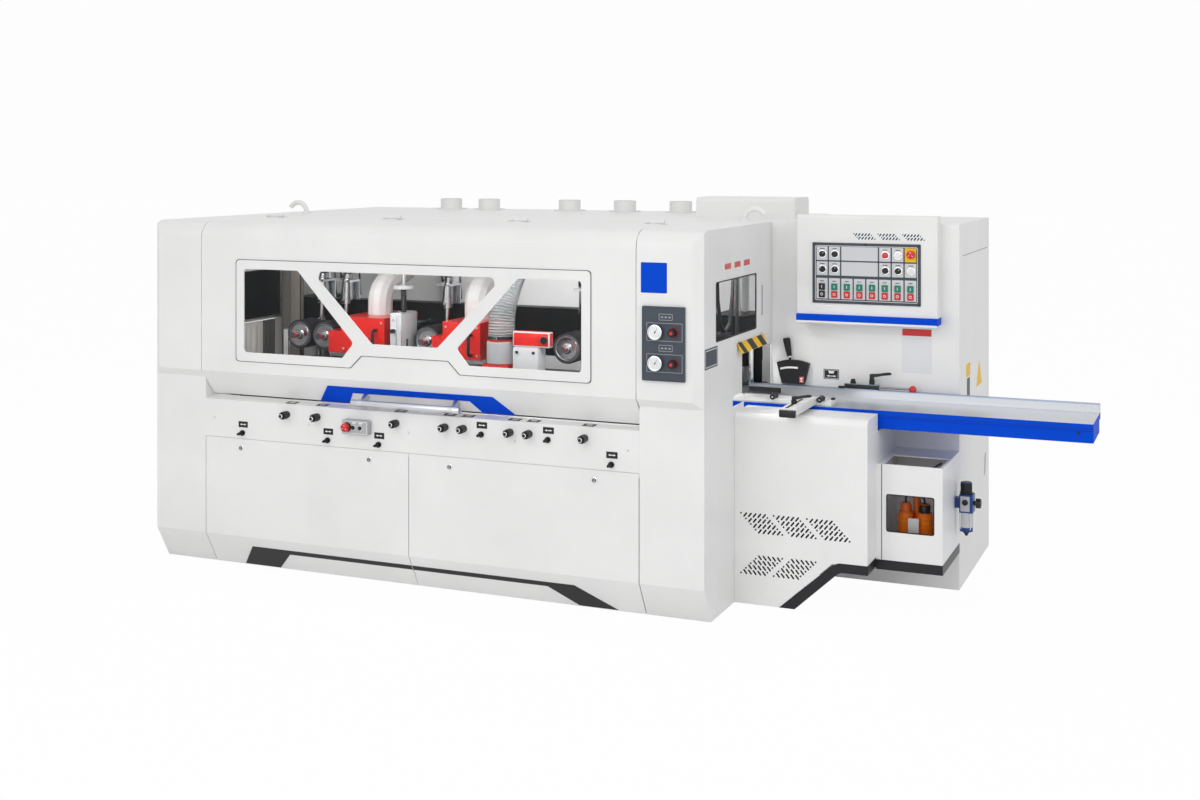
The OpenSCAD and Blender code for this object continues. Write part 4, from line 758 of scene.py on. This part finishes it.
PRESS_X, PRESS_Y = -393, 630
press = bmesh.new()
add_box(press, (-424, 558, 887), (-363, 702, 1079.5), 3, 3)
add_box(press, (-420, 553, 900), (-386, 559, 1070), 3, 1.5)
add_turned(press, (-398, 553, 1000), FRONT, [(0, 7), (6, 7), (7, 10), (22, 10), (24, 8), (24, 0)], 2, 20)
add_box(press, (-363.5, 600, 900), (-362.2, 616, 960), 2, 0.5)
add_turned(press, (PRESS_X, PRESS_Y, 1186), UP, [(0, 44), (2, 46), (15, 46), (17, 44), (17, 9.5)], 3, 36)
for k in range(13):
    add_turned(press, (PRESS_X, PRESS_Y, 1079.5 + 8 * k), UP,
               [(0, 11), (2, 13.5), (5, 13.5), (7, 11)], 2, 16)
add_turned(press, (PRESS_X, PRESS_Y, 1270), UP, [(0, 14), (3, 18), (22, 18), (26, 14), (27, 0)], 2, 24)
for z in (925, 1050):
    add_turned(press, (-403, 553, z), FRONT, [(0, 6), (4, 6), (5, 4.8), (5, 0)], 1, 6)
make_piece("press_shoe_parts", press, "feed_beam", "steel",
           cylinder_steel, screw_steel, black_plastic, block_grey)

chips = bmesh.new()
for x0, x1 in ((-690, -455), (-150, 40)):
    for z in (905, 1030):
        for x in (x0 + 16, x1 - 16):
            add_turned(chips, (x, 560, z), FRONT, [(0, 6), (4, 6), (5, 4.5), (5, 0)], 1, 6)
    grip_x = x1 - 43
    grip_line = ((559, 908), (538, 908), (528, 916), (528, 990), (538, 998), (559, 998))
    add_tube(chips, [(grip_x, y, z) for y, z in grip_line], 7.5, 0, 12)
    add_border(chips, (x0 + 2, 887, x1 - 2, 1051), 4, 6, 3, on_front(560), 1.2, 2)
make_piece("chip_hood_parts", chips, "machine", "red", black_plastic, screw_steel, hood_red)

clear_hose = clear_sheet("clear_hose", (0.62, 0.65, 0.66), 0.40, 0.22)
hose_wire = clear_sheet("hose_wire", (0.30, 0.32, 0.33), 0.85, 0.3)
hose = bmesh.new()
HOSE_X, HOSE_Y, HOSE_Z = 155, 545, 990
DUCT_X, DUCT_Y, DUCT_Z = 244, 1780, 1380
azimuth = atan2(DUCT_Y - HOSE_Y, DUCT_X - HOSE_X)
RISE, BEND, LEVEL = 40.0, 350.0, 150.0
ARC = BEND * pi / 2


def hose_point(t):
    """The hose's path: up from its collar, round the bend and level to the duct."""
    if t < RISE:
        run, z = 0.0, HOSE_Z + t
    elif t < RISE + ARC:
        a = (t - RISE) / BEND
        run, z = BEND * (1 - cos(a)), DUCT_Z - BEND + BEND * sin(a)
    else:
        run, z = BEND + t - RISE - ARC, DUCT_Z
    return (HOSE_X + run * cos(azimuth), HOSE_Y + run * sin(azimuth), z)


RIBS, STEPS = 65, 4
count = RIBS * STEPS
path = [hose_point((RISE + ARC + LEVEL) * k / count) for k in range(count + 1)]
wave = [57.6 + 3.2 * sin(2 * pi * k / STEPS) for k in range(count + 1)]
add_tube(hose, path, wave, 0, 32)
for number, face in enumerate(hose.faces):
    face.material_index = 1 if (number // 32) % STEPS == 0 else 0
make_piece("ribbed_hose", hose, "machine", "hose", clear_hose, hose_wire, crease=60,
           replaces=("flex_hose",))
collar = bmesh.new()
add_turned(collar, (HOSE_X, HOSE_Y, 886), UP, [(0, 62), (2, 66), (92, 66), (96, 63)], 0, 40)
add_turned(collar, (HOSE_X, HOSE_Y, 992), UP, [(0, 62.5), (0, 64), (14, 64), (14, 62.5)], 1, 40)
add_box(collar, (145, 474, 994), (165, 484, 1004), 1, 1.5)
make_piece("hose_collar", collar, "machine", "grey", coat("collar_grey", (0.40, 0.41, 0.43), 0.45),
           label_black)

holder = bmesh.new()
add_box(holder, (241, 480, 784), (363, 562, 966), 0, 5)
add_box(holder, (231, 498, 966), (410, 542, 1034), 1, 6)
add_turned(holder, (385, 498, 1000), FRONT, [(0, 16), (10, 16), (12, 14), (12, 0)], 2, 24)
for x in (262, 342):
    add_turned(holder, (x, 480, 945), FRONT, [(0, 7), (5, 7), (6, 5.5), (6, 0)], 2, 6)
make_piece("press_block_cover", holder, "machine", "white", block_grey, hood_red, black_plastic)

# Both ends inside: the box and column at the outfeed wall with its strip curtain, the beam's
# guide posts, the cables behind the side window and a black panel that paints the shade at the back of the
# infeed mouth.
left_wall = bmesh.new()
add_box(left_wall, (-1284, 600, 1010), (-1250, 886, 1240), 0, 4)
add_box(left_wall, (-1220, 852, 782), (-1163, 875, 1440), 2, 3)
add_box(left_wall, (-1165, 843, 782), (-1103, 875, 1440), 1, 3)
add_box(left_wall, (-1199, 834, 782), (-1166, 851, 946), 3, 3)
# The column is two boxes in one colour: painted lit on the forward box and painted shade on the box set
# back beside it.
make_piece("left_wall_box", left_wall, "machine", "black",
           beam_black, coat("post_lit", (0.24, 0.215, 0.195), 0.5),
           coat("post_shade", (0.16, 0.148, 0.138), 0.5), white_coat)
strips = bmesh.new()
for k in range(8):
    y = 566 + 43.6 * k if k < 5 else 784 + 34.3 * (k - 5)
    wide = 43.6 if k < 5 else 34.3
    bow = 4.5 if k % 2 else 1.5
    edge = [(y, 0), (y + wide * 0.35, bow), (y + wide * 0.7, bow), (y + wide, 0), (y + wide, -1.2),
            (y + wide * 0.7, bow - 1.2), (y + wide * 0.35, bow - 1.2), (y, -1.2)]
    add_prism(strips, edge, lambda u, v, w: shop(-1284 + v, u, 787 + w), 201)
for number, face in enumerate(strips.faces):
    face.material_index = number // 50
make_piece("outfeed_strips", strips, "machine", "clear",
           clear_sheet("strip_vinyl", (0.80, 0.78, 0.74), 0.92, 0.3),
           coat("strip_grey", (0.13, 0.127, 0.122), 0.55))
post_steel = bmesh.new()
for x in (-1100, 1100):
    add_turned(post_steel, (x, 1045, 781.5), UP, [(0, 40.03), (1, 40.03), (697, 40.03), (699, 38)], 0, 40)
    add_turned(post_steel, (x, 1045, 781.5), UP, [(0, 58), (5, 58), (7, 55), (7, 41)], 1, 40)
make_piece("guide_posts", post_steel, "machine", "chrome", chrome, cast_grey)
cables = bmesh.new()
add_box(cables, (1228, 150, 1010), (1285.5, 350, 1092), 0, 4)
for route in (
        ((1262, 172, 1092), (1262, 168, 1150), (1262, 162, 1300), (1262, 158, 1440), (1262, 158, 1510)),
        ((1256, 250, 1510), (1256, 252, 1380), (1254, 268, 1230), (1252, 310, 1120), (1250, 368, 1088),
         (1250, 430, 1116), (1252, 462, 1230), (1254, 476, 1380), (1254, 478, 1510)),
        ((1244, 545, 1510), (1244, 547, 1330), (1244, 548, 1160), (1244, 552, 1040), (1250, 560, 1010))):
    add_tube(cables, route, 7.5, 1, 12)
add_box(cables, (1236, 532, 994), (1285.5, 590, 1012), 0, 3)
make_piece("end_cables", cables, "machine", "black", beam_black, rubber)
# A black panel behind the infeed mouth paints the shade deep inside it; a chrome post stands in front of
# it.
mouth = bmesh.new()
add_box(mouth, (1186, 897, 786), (1246, 900.5, 1010), 0, 1)
add_turned(mouth, (1200, 887, 782), UP, [(0, 12.5), (1, 13), (226, 13), (228, 12)], 1, 28)
make_piece("mouth_back", mouth, "machine", "black", beam_black, chrome)

# Infeed: blue table with a ground top, a steel fence with its clamp and ball lever, the
# white side guide on a slotted arm, and the black sector with the depth lever.
table_steel = ground_metal("ground_table", (0.50, 0.51, 0.53), 0.3, (2.5, 260, 260), 0.05)
paint(blue_paint, "infeed_table")
# The fence steel's blue tint paints the blue reflection in its ground face.
paint(ground_metal("fence_steel_blue_reflection", (0.30, 0.37, 0.50), 0.34, (2.5, 260, 260), 0.05), "infeed_fence")
ease_edges(1.2, "infeed_table")


def on_top(z):
    """Places flat pieces on a level plane that faces up."""
    return lambda u, v, w: shop(u, v, z + w)


FENCE_Y, TABLE_Z = 839, 781
top = bmesh.new()
add_prism(top, rounded_rect(1201, 563, 2653.5, 867.5, 1.5), on_top(TABLE_Z), 0.2, base=-0.3)
add_prism(top, rect(1834, 761, 2653, 763.4), on_front(561), 0.15, 4, base=-0.3)
add_turned(top, (2600, 561, 744), FRONT, [(0, 5), (0.4, 5), (0.4, 0)], 1, 16)
add_turned(top, (1517, 561, 744), FRONT, [(0, 8), (10, 8), (11, 14), (22, 14), (24, 12.5), (24, 6)], 2, 24)
add_turned(top, (1517, 537, 744), FRONT, [(-1, 6), (0.6, 6), (1.0, 5), (1.0, 0)], 3, 20)
make_piece("table_top", top, "infeed_table", "steel", table_steel, label_black, black_plastic, symbol_white,
           coat("lip_shadow", (0.0, 0.02, 0.20), 0.6, peel=0))
face = bmesh.new()
add_prism(face, rect(1206, 781.6, 2653.6, 813.5), on_front(FENCE_Y), 0.25, base=-0.3)
# The black strip along the foot of the fence face paints the dark reflection in the steel.
add_prism(face, rect(1206, 781.7, 1349, 803), on_front(FENCE_Y), 1.0, 1, base=0.2)
make_piece("fence_face", face, "infeed_fence", "steel", table_steel, label_black)

block = bmesh.new()
add_box(block, (1624, 840, 817.4), (1770, 864.5, 839.2), 0, 4)
add_box(block, (1596, 846, 817.4), (1626, 860, 826), 0, 3)
add_turned(block, (1660, 852, 839), UP, [(0, 11), (2, 12), (10, 12), (13, 9), (19, 9), (20, 0)], 0, 20)
add_turned(block, (1692, 852, 839), UP, [(0, 7), (4.5, 7), (5.5, 5.8), (5.5, 3.5), (3, 3.2), (3, 0)], 1, 16)
add_prism(block, rounded_rect(1700, 843, 1724, 861, 3), on_top(839.2), 0.2, 1)
make_piece("fence_clamp_block", block, "infeed_fence", "black", black_plastic, screw_steel)


def clamp_lever(name, x, y, z, height, turn, length):
    """A die cast clamping lever: a waisted hub with a serrated foot and a swept arm."""
    bm = bmesh.new()
    add_turned(bm, (x, y, z), UP,
               [(0, 9), (1, 11), (height * 0.45, 10.4), (height * 0.6, 9.4),
                (height - 5, 9.8), (height - 1, 8.6), (height, 5.4)], 0, 24)
    add_turned(bm, (x, y, z + height - 3), UP,
               [(0, 5.5), (2.4, 5.5), (2.4, 3), (0.8, 2.6), (0.8, 0)], 1, 12)
    for u, v in around(14, 10.4):
        add_turned(bm, (x + u, y + v, z + 1), UP,
                   [(0, 0), (0.6, 1.2), (height * 0.4, 1.2), (height * 0.4 + 1, 0)], 0, 6)
    c, s = cos(radians(turn)), sin(radians(turn))
    reach = ((0.0, -7), (0.25, -5), (0.55, 0), (0.85, 3.5), (1.0, 4.5), (1.06, 4.6))
    add_tube(bm, [(x + c * length * t, y + s * length * t, z + height + rise) for t, rise in reach],
             [8.0, 6.6, 5.8, 6.2, 5.4, 2.5], 0, 14)
    make_piece(name + "_casting", bm, name, "black", black_plastic, screw_steel, replaces=(name,))


clamp_lever("fence_clamp", 1740, 852, 839.6, 44, 0, 78)
clamp_lever("guide_clamp", 1520, 434, 807.6, 30, 0, 68)
paint(ground_metal("lever_rod", (0.22, 0.22, 0.23), 0.35, (4, 300, 300)), "fence_lever")
ball = bmesh.new()
add_turned(ball, (1896, 852, 828.3), RIGHT,
           [(-1.2, 5)] + [(16 - 15.4 * cos(a), 15.4 * sin(a)) for a in
                          [radians(20 + 160 * k / 14) for k in range(14)]] + [(31.4, 0)], 0, 28)
make_piece("lever_ball", ball, "infeed_fence", "red_plastic", stop_red)

guide_white = coat("guide_white", (0.74, 0.74, 0.72), 0.4, mottle=0.02)
paint(guide_white, "side_guide")
ease_edges(2.0, "side_guide")
STUD_Z = 803.3
guide = bmesh.new()
add_box(guide, (1501.5, 278, 776), (1568.5, 292, 805.8), 0, 4)
add_prism(guide, rounded_rect(1514, 318, 1526, 560, 5.5), on_top(807.35), 0.25, 0)
for x in (1384, 1583):
    add_turned(guide, (x, 641, STUD_Z), FRONT,
               [(0, 11.4), (2, 12.2), (18, 12.2), (20, 11.5), (51.5, 11.5), (53, 10), (53, 0)], 0, 24)
    for u, v in around(12, 12):
        add_turned(guide, (x + u, 639, STUD_Z + v), FRONT, [(0, 0), (0.6, 1.4), (15, 1.4), (16, 0)], 0, 6)
    add_turned(guide, (x, 588, STUD_Z), FRONT, [(0, 4), (0.8, 3.6), (0.8, 0)], 1, 12)
for x in (1240, 1600):
    add_turned(guide, (x, 660, 795.3), UP,
               [(0, 6), (2.5, 6), (3.4, 5), (3.4, 3), (1.6, 2.6), (1.6, 0)], 1, 14)
add_box(guide, (1612, 655, 795.2), (1628, 684, 803), 0, 3)
make_piece("guide_fittings", guide, "side_guide", "plastic", black_plastic, screw_steel)

sector_black = coat("sector_black", (0.012, 0.012, 0.013), 0.48, peel=0.1, peel_scale=420)
paint(sector_black, "lever_quadrant", "depth_lever")
ease_edges(1.5, "lever_quadrant")
PIVOT = (1390, 884, 846)
sector = bmesh.new()
slot = [(PIVOT[0] + r * cos(radians(a)), 700 + r * sin(radians(a)))
        for r, span in ((193, range(83, 108, 3)), (185, range(107, 82, -3))) for a in span]
add_prism(sector, slot, on_front(875), 0.2, 0, base=-0.2)
add_box(sector, (1420, 873.4, 826), (1438, 875.2, 850), 1, 0.6)
for low, high in ((839, 845), (830, 835)):
    add_prism(sector, rounded_rect(1424, low, 1434, high, 1.5), on_front(873.4), 0.3, 0)
make_piece("sector_marks", sector, "machine", "black", symbol_white, stop_red)
grip = bmesh.new()
lever_lean = radians(10.5)
lean = (-sin(lever_lean), 0, cos(lever_lean))
add_turned(grip, PIVOT, lean,
           [(86, 5.5), (86, 10.4), (87, 11.2), (90, 11.2), (91, 10.2), (95, 10.2), (96, 9)], 1, 28)
add_turned(grip, PIVOT, lean,
           [(92, 9), (92.2, 10.6), (100, 11.2), (125, 13), (150, 14.8), (162, 15.5), (168, 14.4),
            (170.6, 10), (171, 0)], 0, 28)
make_piece("depth_grip", grip, "depth_lever", "plastic", rubber, chrome)

# Infeed cover: a folded sheet with three slanted louvre fields over two mirrored ones,
# and a black plinth strip along its cut away foot.
COVER_Y = 371
louvre_dark = coat("louvre_shadow", (0.012, 0.012, 0.013), 0.8, peel=0)


def slot_shape(run, rise, radius, place):
    """A slanted slot with round ends about the origin, on a plane through it."""
    bm = bmesh.new()
    tilt = atan2(rise, run)
    half = hypot(run, rise) / 2
    outline = []
    for sign, first in ((1, -90), (-1, 90)):
        for k in range(7):
            a = radians(first + 30 * k)
            u, v = sign * half + radius * cos(a), radius * sin(a)
            outline.append((u * cos(tilt) - v * sin(tilt), u * sin(tilt) + v * cos(tilt)))
    add_prism(bm, outline, place, 0.4, base=0.05)
    bmesh.ops.translate(bm, vec=-shop(0, 0, 0), verts=bm.verts)
    return bm


def front_slots(name, spots, y, size, finish):
    """Dark slots at spots on an upright plane that faces the doors."""
    repeat(name, [shop(x, y, z) for x, z in spots], slot_shape(*size, on_front(0)),
           finish, "machine")


def louvre_field(x0, z0, fields, row_z):
    """Centres of the slots and of the small end holes of slanted louvre fields."""
    slots, holes = [], []
    for field in range(fields):
        for row in range(4):
            x, z = x0 + 136 * field + 20.5 * row, z0 + row_z * row
            slots += [(x + 18.7 + 19.6 * k, z) for k in range(5)]
            shift = 5.5 if row_z < 0 else -5.5
            holes += [(x + 1, z + shift), (x + 111, z - shift)]
    return slots, holes


upper, upper_holes = louvre_field(1317, 360, 3, -20.6)
lower, lower_holes = louvre_field(1317, 131, 2, 20.6)
front_slots("louvres_upper", upper, COVER_Y, (10, 12.5, 3.4), louvre_dark)
front_slots("louvres_lower", lower, COVER_Y, (-10, 12.5, 3.4), louvre_dark)
front_slots("louvre_holes", upper_holes + lower_holes, COVER_Y, (0.8, 1.0, 3.4), louvre_dark)
plinth = bmesh.new()
bend_out = [(1724 - 34 * sin(radians(a)), 170 + 34 * cos(radians(a))) for a in (40, 30, 20, 10, 0)]
strip_line = [(1476, 3), (1688, 190)] + bend_out + [(1832.6, 204), (1832.6, 167), (1730, 167), (1716, 162),
                                                     (1706, 154), (1540, 3)]
add_prism(plinth, strip_line, on_front(COVER_Y), 0.6, base=-6)
add_prism(plinth, rect(371, 167, 518, 204), on_side(1832), 0.6, base=-4)
make_piece("cover_plinth", plinth, "machine", "black", black_vinyl)

# Electrical cabinet with the operator housing: a slate panel of plain keys and knobs in a
# white housing, a blue rail under it, and vents and a generic plate on the sheets.
CABINET_X, CABINET_Y, HOUSING_Y = 2095, 901, 820
rail = bmesh.new()
rail_line = [(805.4, 1103), (805.4, 1126), (809, 1130), (901.4, 1130), (901.4, 1098), (809, 1098)]
add_prism(rail, rail_line, lambda u, v, w: shop(1424.4 + w, u, v), 596.2)
bmesh.ops.bevel(rail, geom=list(rail.edges), offset=0.0015, segments=2, profile=0.5, affect="EDGES")
make_piece("housing_rail", rail, "machine", "blue", blue_paint)
key_white = coat("key_legend", (0.62, 0.63, 0.65), 0.45, mottle=0.02, peel=0)
key_green = coat("key_green", (0.012, 0.20, 0.13), 0.4, peel=0.01)
key_red = coat("key_red", (0.55, 0.03, 0.035), 0.4, peel=0.01)
panel = bmesh.new()
PX0, PX1, PZ0, PZ1, PY = 1493.5, 1951.5, 1178, 1434, 816
add_prism(panel, rounded_rect(PX0, PZ0, PX1, PZ1, 3), on_front(PY), 0.4, 0, base=-3.9)
add_border(panel, (PX0 + 12, PZ0 + 12, PX1 - 12, PZ1 - 12), 8, 2, 7, on_front(PY), 0.7, 5)
pitch = 53.5
left = PX0 + 15
for column in range(8):
    u0, u1 = left + column * pitch + 3, left + (column + 1) * pitch - 3
    add_prism(panel, rounded_rect(u0, PZ0 + 19, u1, PZ0 + 106, 2), on_front(PY), 0.9, 1, base=0.2)
    if column not in (2, 3, 4):
        for row in (0, 1):
            add_prism(panel, rounded_rect(u0, PZ1 - 74 - 64 * row, u1, PZ1 - 16 - 64 * row, 2),
                      on_front(PY), 0.9, 6 if (column, row) == (7, 0) else 1, base=0.2)
    middle = (u0 + u1) / 2
    for row, (low, high) in enumerate(((PZ0 + 24, PZ0 + 52), (PZ0 + 56, PZ0 + 84))):
        finish = 2 if column == 0 else (4 if row == 0 else 3)
        add_prism(panel, rounded_rect(middle - 13, low, middle + 13, high, 2.5),
                  on_front(PY), 6.2, finish, base=0.4)
        if row == 0:
            add_border(panel, (middle - 6, low + 8, middle + 6, high - 8), 5.8, 2, 3.9,
                       on_front(PY - 6.2), 0.3, 5, steps=3)
        else:
            add_prism(panel, rounded_rect(middle - 1.2, low + 8, middle + 1.2, high - 8, 1),
                      on_front(PY - 6.2), 0.3, 5)
    add_prism(panel, rounded_rect(middle - 10, PZ0 + 92, middle + 8, PZ0 + 95, 1),
              on_front(PY - 0.9), 0.2, 2)
for low in (PZ1 - 74, PZ1 - 138):
    add_prism(panel, rounded_rect(left + 2 * pitch + 3, low, left + 5 * pitch - 3, low + 58, 2),
              on_front(PY), 0.9, 1, base=0.2)


def panel_knob(column, row, cap, pointer):
    """A ringed actuator: black selector knobs or coloured push buttons."""
    u, v = left + (column + 0.5) * pitch, PZ1 - 48 - 64 * row
    add_turned(panel, (u + 2, PY - 0.9, v), FRONT, [(0, 17), (2, 17), (3, 15.8), (3, 12)], 7, 28)
    add_turned(panel, (u + 2, PY - 2, v), FRONT, [(0, 13.4), (8, 13.4), (10, 12), (10.6, 0)], cap, 28)
    if pointer is not None:
        c, s = cos(radians(pointer)), sin(radians(pointer))
        add_prism(panel, rect(-11, -3.4, 11, 3.4),
                  lambda a, b, w: shop(u + 2 + a * c - b * s, PY - 12 - w, v + a * s + b * c), 7, cap)
        add_prism(panel, rect(5, -0.7, 11, 0.7),
                  lambda a, b, w: shop(u + 2 + a * c - b * s, PY - 19 - w, v + a * s + b * c), 0.3, 5)
    add_prism(panel, rounded_rect(u - 9, v + 21, u + 11, v + 24, 1), on_front(PY - 0.9), 0.2, 2)


for column, row, cap, pointer in (
        (0, 0, 2, 45), (1, 0, 2, None), (5, 0, 8, None), (6, 0, 5, None), (0, 1, 2, 135),
        (1, 1, 2, 60), (5, 1, 2, None), (6, 1, 2, 40), (7, 1, 5, 130)):
    panel_knob(column, row, cap, pointer)
for u in (PX0 + 6, (PX0 + PX1) / 2, PX1 - 6):
    for v in (PZ0 + 6, PZ1 - 6):
        add_turned(panel, (u, PY - 0.4, v), FRONT,
                   [(0, 3.4), (1.2, 3.2), (1.8, 2), (1.0, 1.6), (1.0, 0)], 2, 12)
make_piece("operator_panel_face", panel, "machine", "slate", slate_paint, key_white, black_plastic,
           key_green, key_red, symbol_white, hazard_yellow, chrome, stop_red,
           replaces=("operator_panel",))
stop_button("panel_stop_head", 1913.5, PY, 1392, "panel_estop")
vents = [(1680 + 102.7 * field + 14.6 * row + 13.6 * k, 1470 - 14.4 * row)
         for field in range(3) for row in range(2) for k in range(5)]
vent_dots = [(1680 + 102.7 * field + 14.6 * row + run, 1470 - 14.4 * row + rise)
             for field in range(3) for row in range(2) for run, rise in ((-9, 3.5), (65, -3.5))]
vent_blue = coat("vent_shadow", (0.022, 0.04, 0.11), 0.6, peel=0)
front_slots("housing_vents", vents, HOUSING_Y, (5.6, 7.4, 2.7), vent_blue)
front_slots("housing_vent_dots", vent_dots, HOUSING_Y, (1.6, 2.0, 2.0), vent_blue)
side_vents = [(1554 + 22 * row + 3 * (6 - k), 436 - 13.5 * k + 6 * row)
              for k in range(7) for row in range(2)]
repeat("cabinet_vents", [shop(CABINET_X, y, z) for y, z in side_vents],
       slot_shape(9, 9, 2.4, on_side(0)), louvre_dark, "machine")
plate = bmesh.new()
add_prism(plate, rounded_rect(1520, 845, 1587, 887, 2), on_front(CABINET_Y), 0.8, 0, base=0.05)
add_border(plate, (1523, 848, 1584, 884), 2, 1.5, 1.5, on_front(900.2), 0.3, 1)
add_prism(plate, [(1540, 880), (1567, 880), (1563, 869), (1544, 869)], on_front(900.2), 0.3, 1)
add_arrows(plate, on_front(900.6), 1554, 858, 22, 1)
add_prism(plate, rounded_rect(1856, 889, 1982, 1077, 2), on_front(CABINET_Y), 0.4, 3, base=0.05)
add_prism(plate, rounded_rect(1858, 1046, 1980, 1075, 2), on_front(900.6), 0.2, 2)
make_piece("generic_plate", plate, "machine", "black", label_black, symbol_white, stop_red,
           coat("sheet_white", (0.72, 0.73, 0.75), 0.55, peel=0))
seams = bmesh.new()
add_prism(seams, rect(985, 1380, 1640, 1382.4), on_side(CABINET_X), 0.25, 0, base=0.02)
add_prism(seams, rounded_rect(1066, 858, 1170, 914, 3), on_side(CABINET_X), 0.4, 1, base=0.05)
add_prism(seams, rounded_rect(1086, 768, 1160, 852, 3), on_side(CABINET_X), 0.4, 0, base=0.05)
add_prism(seams, [(1334, 782), (1486, 782), (1410, 896)], on_side(CABINET_X), 0.4, 1, base=0.05)
make_piece("cabinet_side_plates", seams, "machine", "dark", slate_paint, hazard_yellow)

# Lubrication cabinet: a box with a window and a top that is open at the front, the pump with
# its two oil jars behind it, and the air filter regulator on its side.
amber_oil = clear_sheet("oil_jar", (0.75, 0.17, 0.01), 0.86, 0.12)
pump_orange = coat("pump_orange", (0.62, 0.12, 0.015), 0.35, peel=0.02)
paint(pump_orange, "lubricator")
LUBE_Y, PUMP_X, JAR_Y = 518, 1963.5, 648
tank = bmesh.new()
add_box(tank, (1893, 606, 163.8), (2034, 709, 200), 2, 4)
add_box(tank, (1893, 606, 252), (2034, 709, 275), 2, 4)
for s in (-1, 1):
    x = PUMP_X + 37.8 * s
    add_turned(tank, (x, JAR_Y, 274), UP, [(0, 31.4), (6, 32), (84, 32), (95, 27), (96, 20)], 1, 32)
    add_turned(tank, (x, JAR_Y, 366), UP, [(0, 21), (3, 22), (30, 22), (36, 18), (40, 10), (40, 0)],
               0 if s < 0 else 3, 28)
    for k in range(4):
        add_turned(tank, (x, JAR_Y, 284 + 20 * k), UP, [(0, 32), (1, 33), (3, 33), (4, 32)], 1, 32)
add_box(tank, (1940, 604.8, 280), (1987, 612, 352), 4, 2)
add_turned(tank, (PUMP_X, 678, 274), UP,
           [(0, 15), (150, 15), (154, 18), (176, 18), (182, 14), (183, 0)], 0, 24)
for route in (((1925, JAR_Y, 404), (1926, 640, 425), (1945, 630, 440), (1975, 632, 442), (2000, 645, 425),
               (2001, JAR_Y, 404)),
              ((PUMP_X, 678, 450), (1966, 690, 480), (1985, 740, 510), (2010, 820, 520), (2020, 899, 520))):
    add_tube(tank, route, 4, 3, 10)
make_piece("pump_parts", tank, "machine", "amber",
           pump_orange, amber_oil, motor_grey, black_plastic, key_white)
lube = bmesh.new()
add_border(lube, (1873, 310, 2063, 460), 9, 4, 7, on_front(LUBE_Y), 0.8, 0, base=-4)
add_prism(lube, rect(1832, 158, 2095.6, 197), on_front(LUBE_Y), 0.7, 1, base=0.02)
add_prism(lube, rect(517.3, 158, 901, 197), on_side(CABINET_X), 0.7, 1, base=0.02)
add_prism(lube, rect(1853.4, 198, 1856.4, 576), on_front(LUBE_Y), 0.3, 0, base=0.02)
make_piece("lube_trim", lube, "machine", "rubber", rubber, black_vinyl)

regulator_blue = coat("regulator_blue", (0.012, 0.055, 0.22), 0.4, peel=0.03)
regulator_grey = coat("regulator_grey", (0.46, 0.47, 0.48), 0.42, peel=0.03)
bowl_clear = clear_sheet("filter_bowl", (0.72, 0.73, 0.72), 0.80, 0.2)
paint(regulator_blue, "air_regulator")
air = bmesh.new()
AX, AY, AZ = 2139, 805, 388
add_box(air, (AX - 22, AY - 31.5, AZ - 33), (AX + 21, AY - 26, AZ + 34), 1, 3)
add_turned(air, (AX, AY - 31.5, AZ + 7), FRONT, [(0, 12), (4, 12), (5, 10.5), (5, 0)], 2, 24)
add_turned(air, (AX, AY, AZ + 37), UP,
           [(0, 25), (4, 26), (9, 26), (11, 22.4), (44, 22.2), (48, 19), (49, 0)], 2, 32)
for u, v in around(18, 22.2):
    add_turned(air, (AX + u, AY + v, AZ + 49), UP, [(0, 0), (0.8, 1.4), (30, 1.4), (31, 0)], 2, 6)
add_turned(air, (AX, AY, AZ - 34), DOWN,
           [(0, 28), (10, 28.5), (14, 26.8), (62, 26.6), (73, 22), (80, 14), (84, 10)], 3, 32)
add_turned(air, (AX, AY, AZ - 116), DOWN,
           [(-2, 10), (0, 11), (8, 11), (10, 7), (17, 6), (17, 0)], 2, 20)
for u, v in around(4, 1.0, 45):
    add_tube(air, [(AX + 29 * u, AY + 29 * v, AZ - d) for d in (38, 60, 80, 96)]
             + [(AX + 22 * u, AY + 22 * v, AZ - 111)], 2.0, 4, 8)
add_turned(air, (AX + 30, AY, AZ + 1), RIGHT,
           [(0, 9), (8, 9), (9, 20), (26, 20), (28, 18), (28, 16), (26, 15), (26, 0)], 2, 28)
make_piece("regulator_parts", air, "machine", "blue",
           regulator_blue, regulator_grey, black_plastic, bowl_clear, chrome)
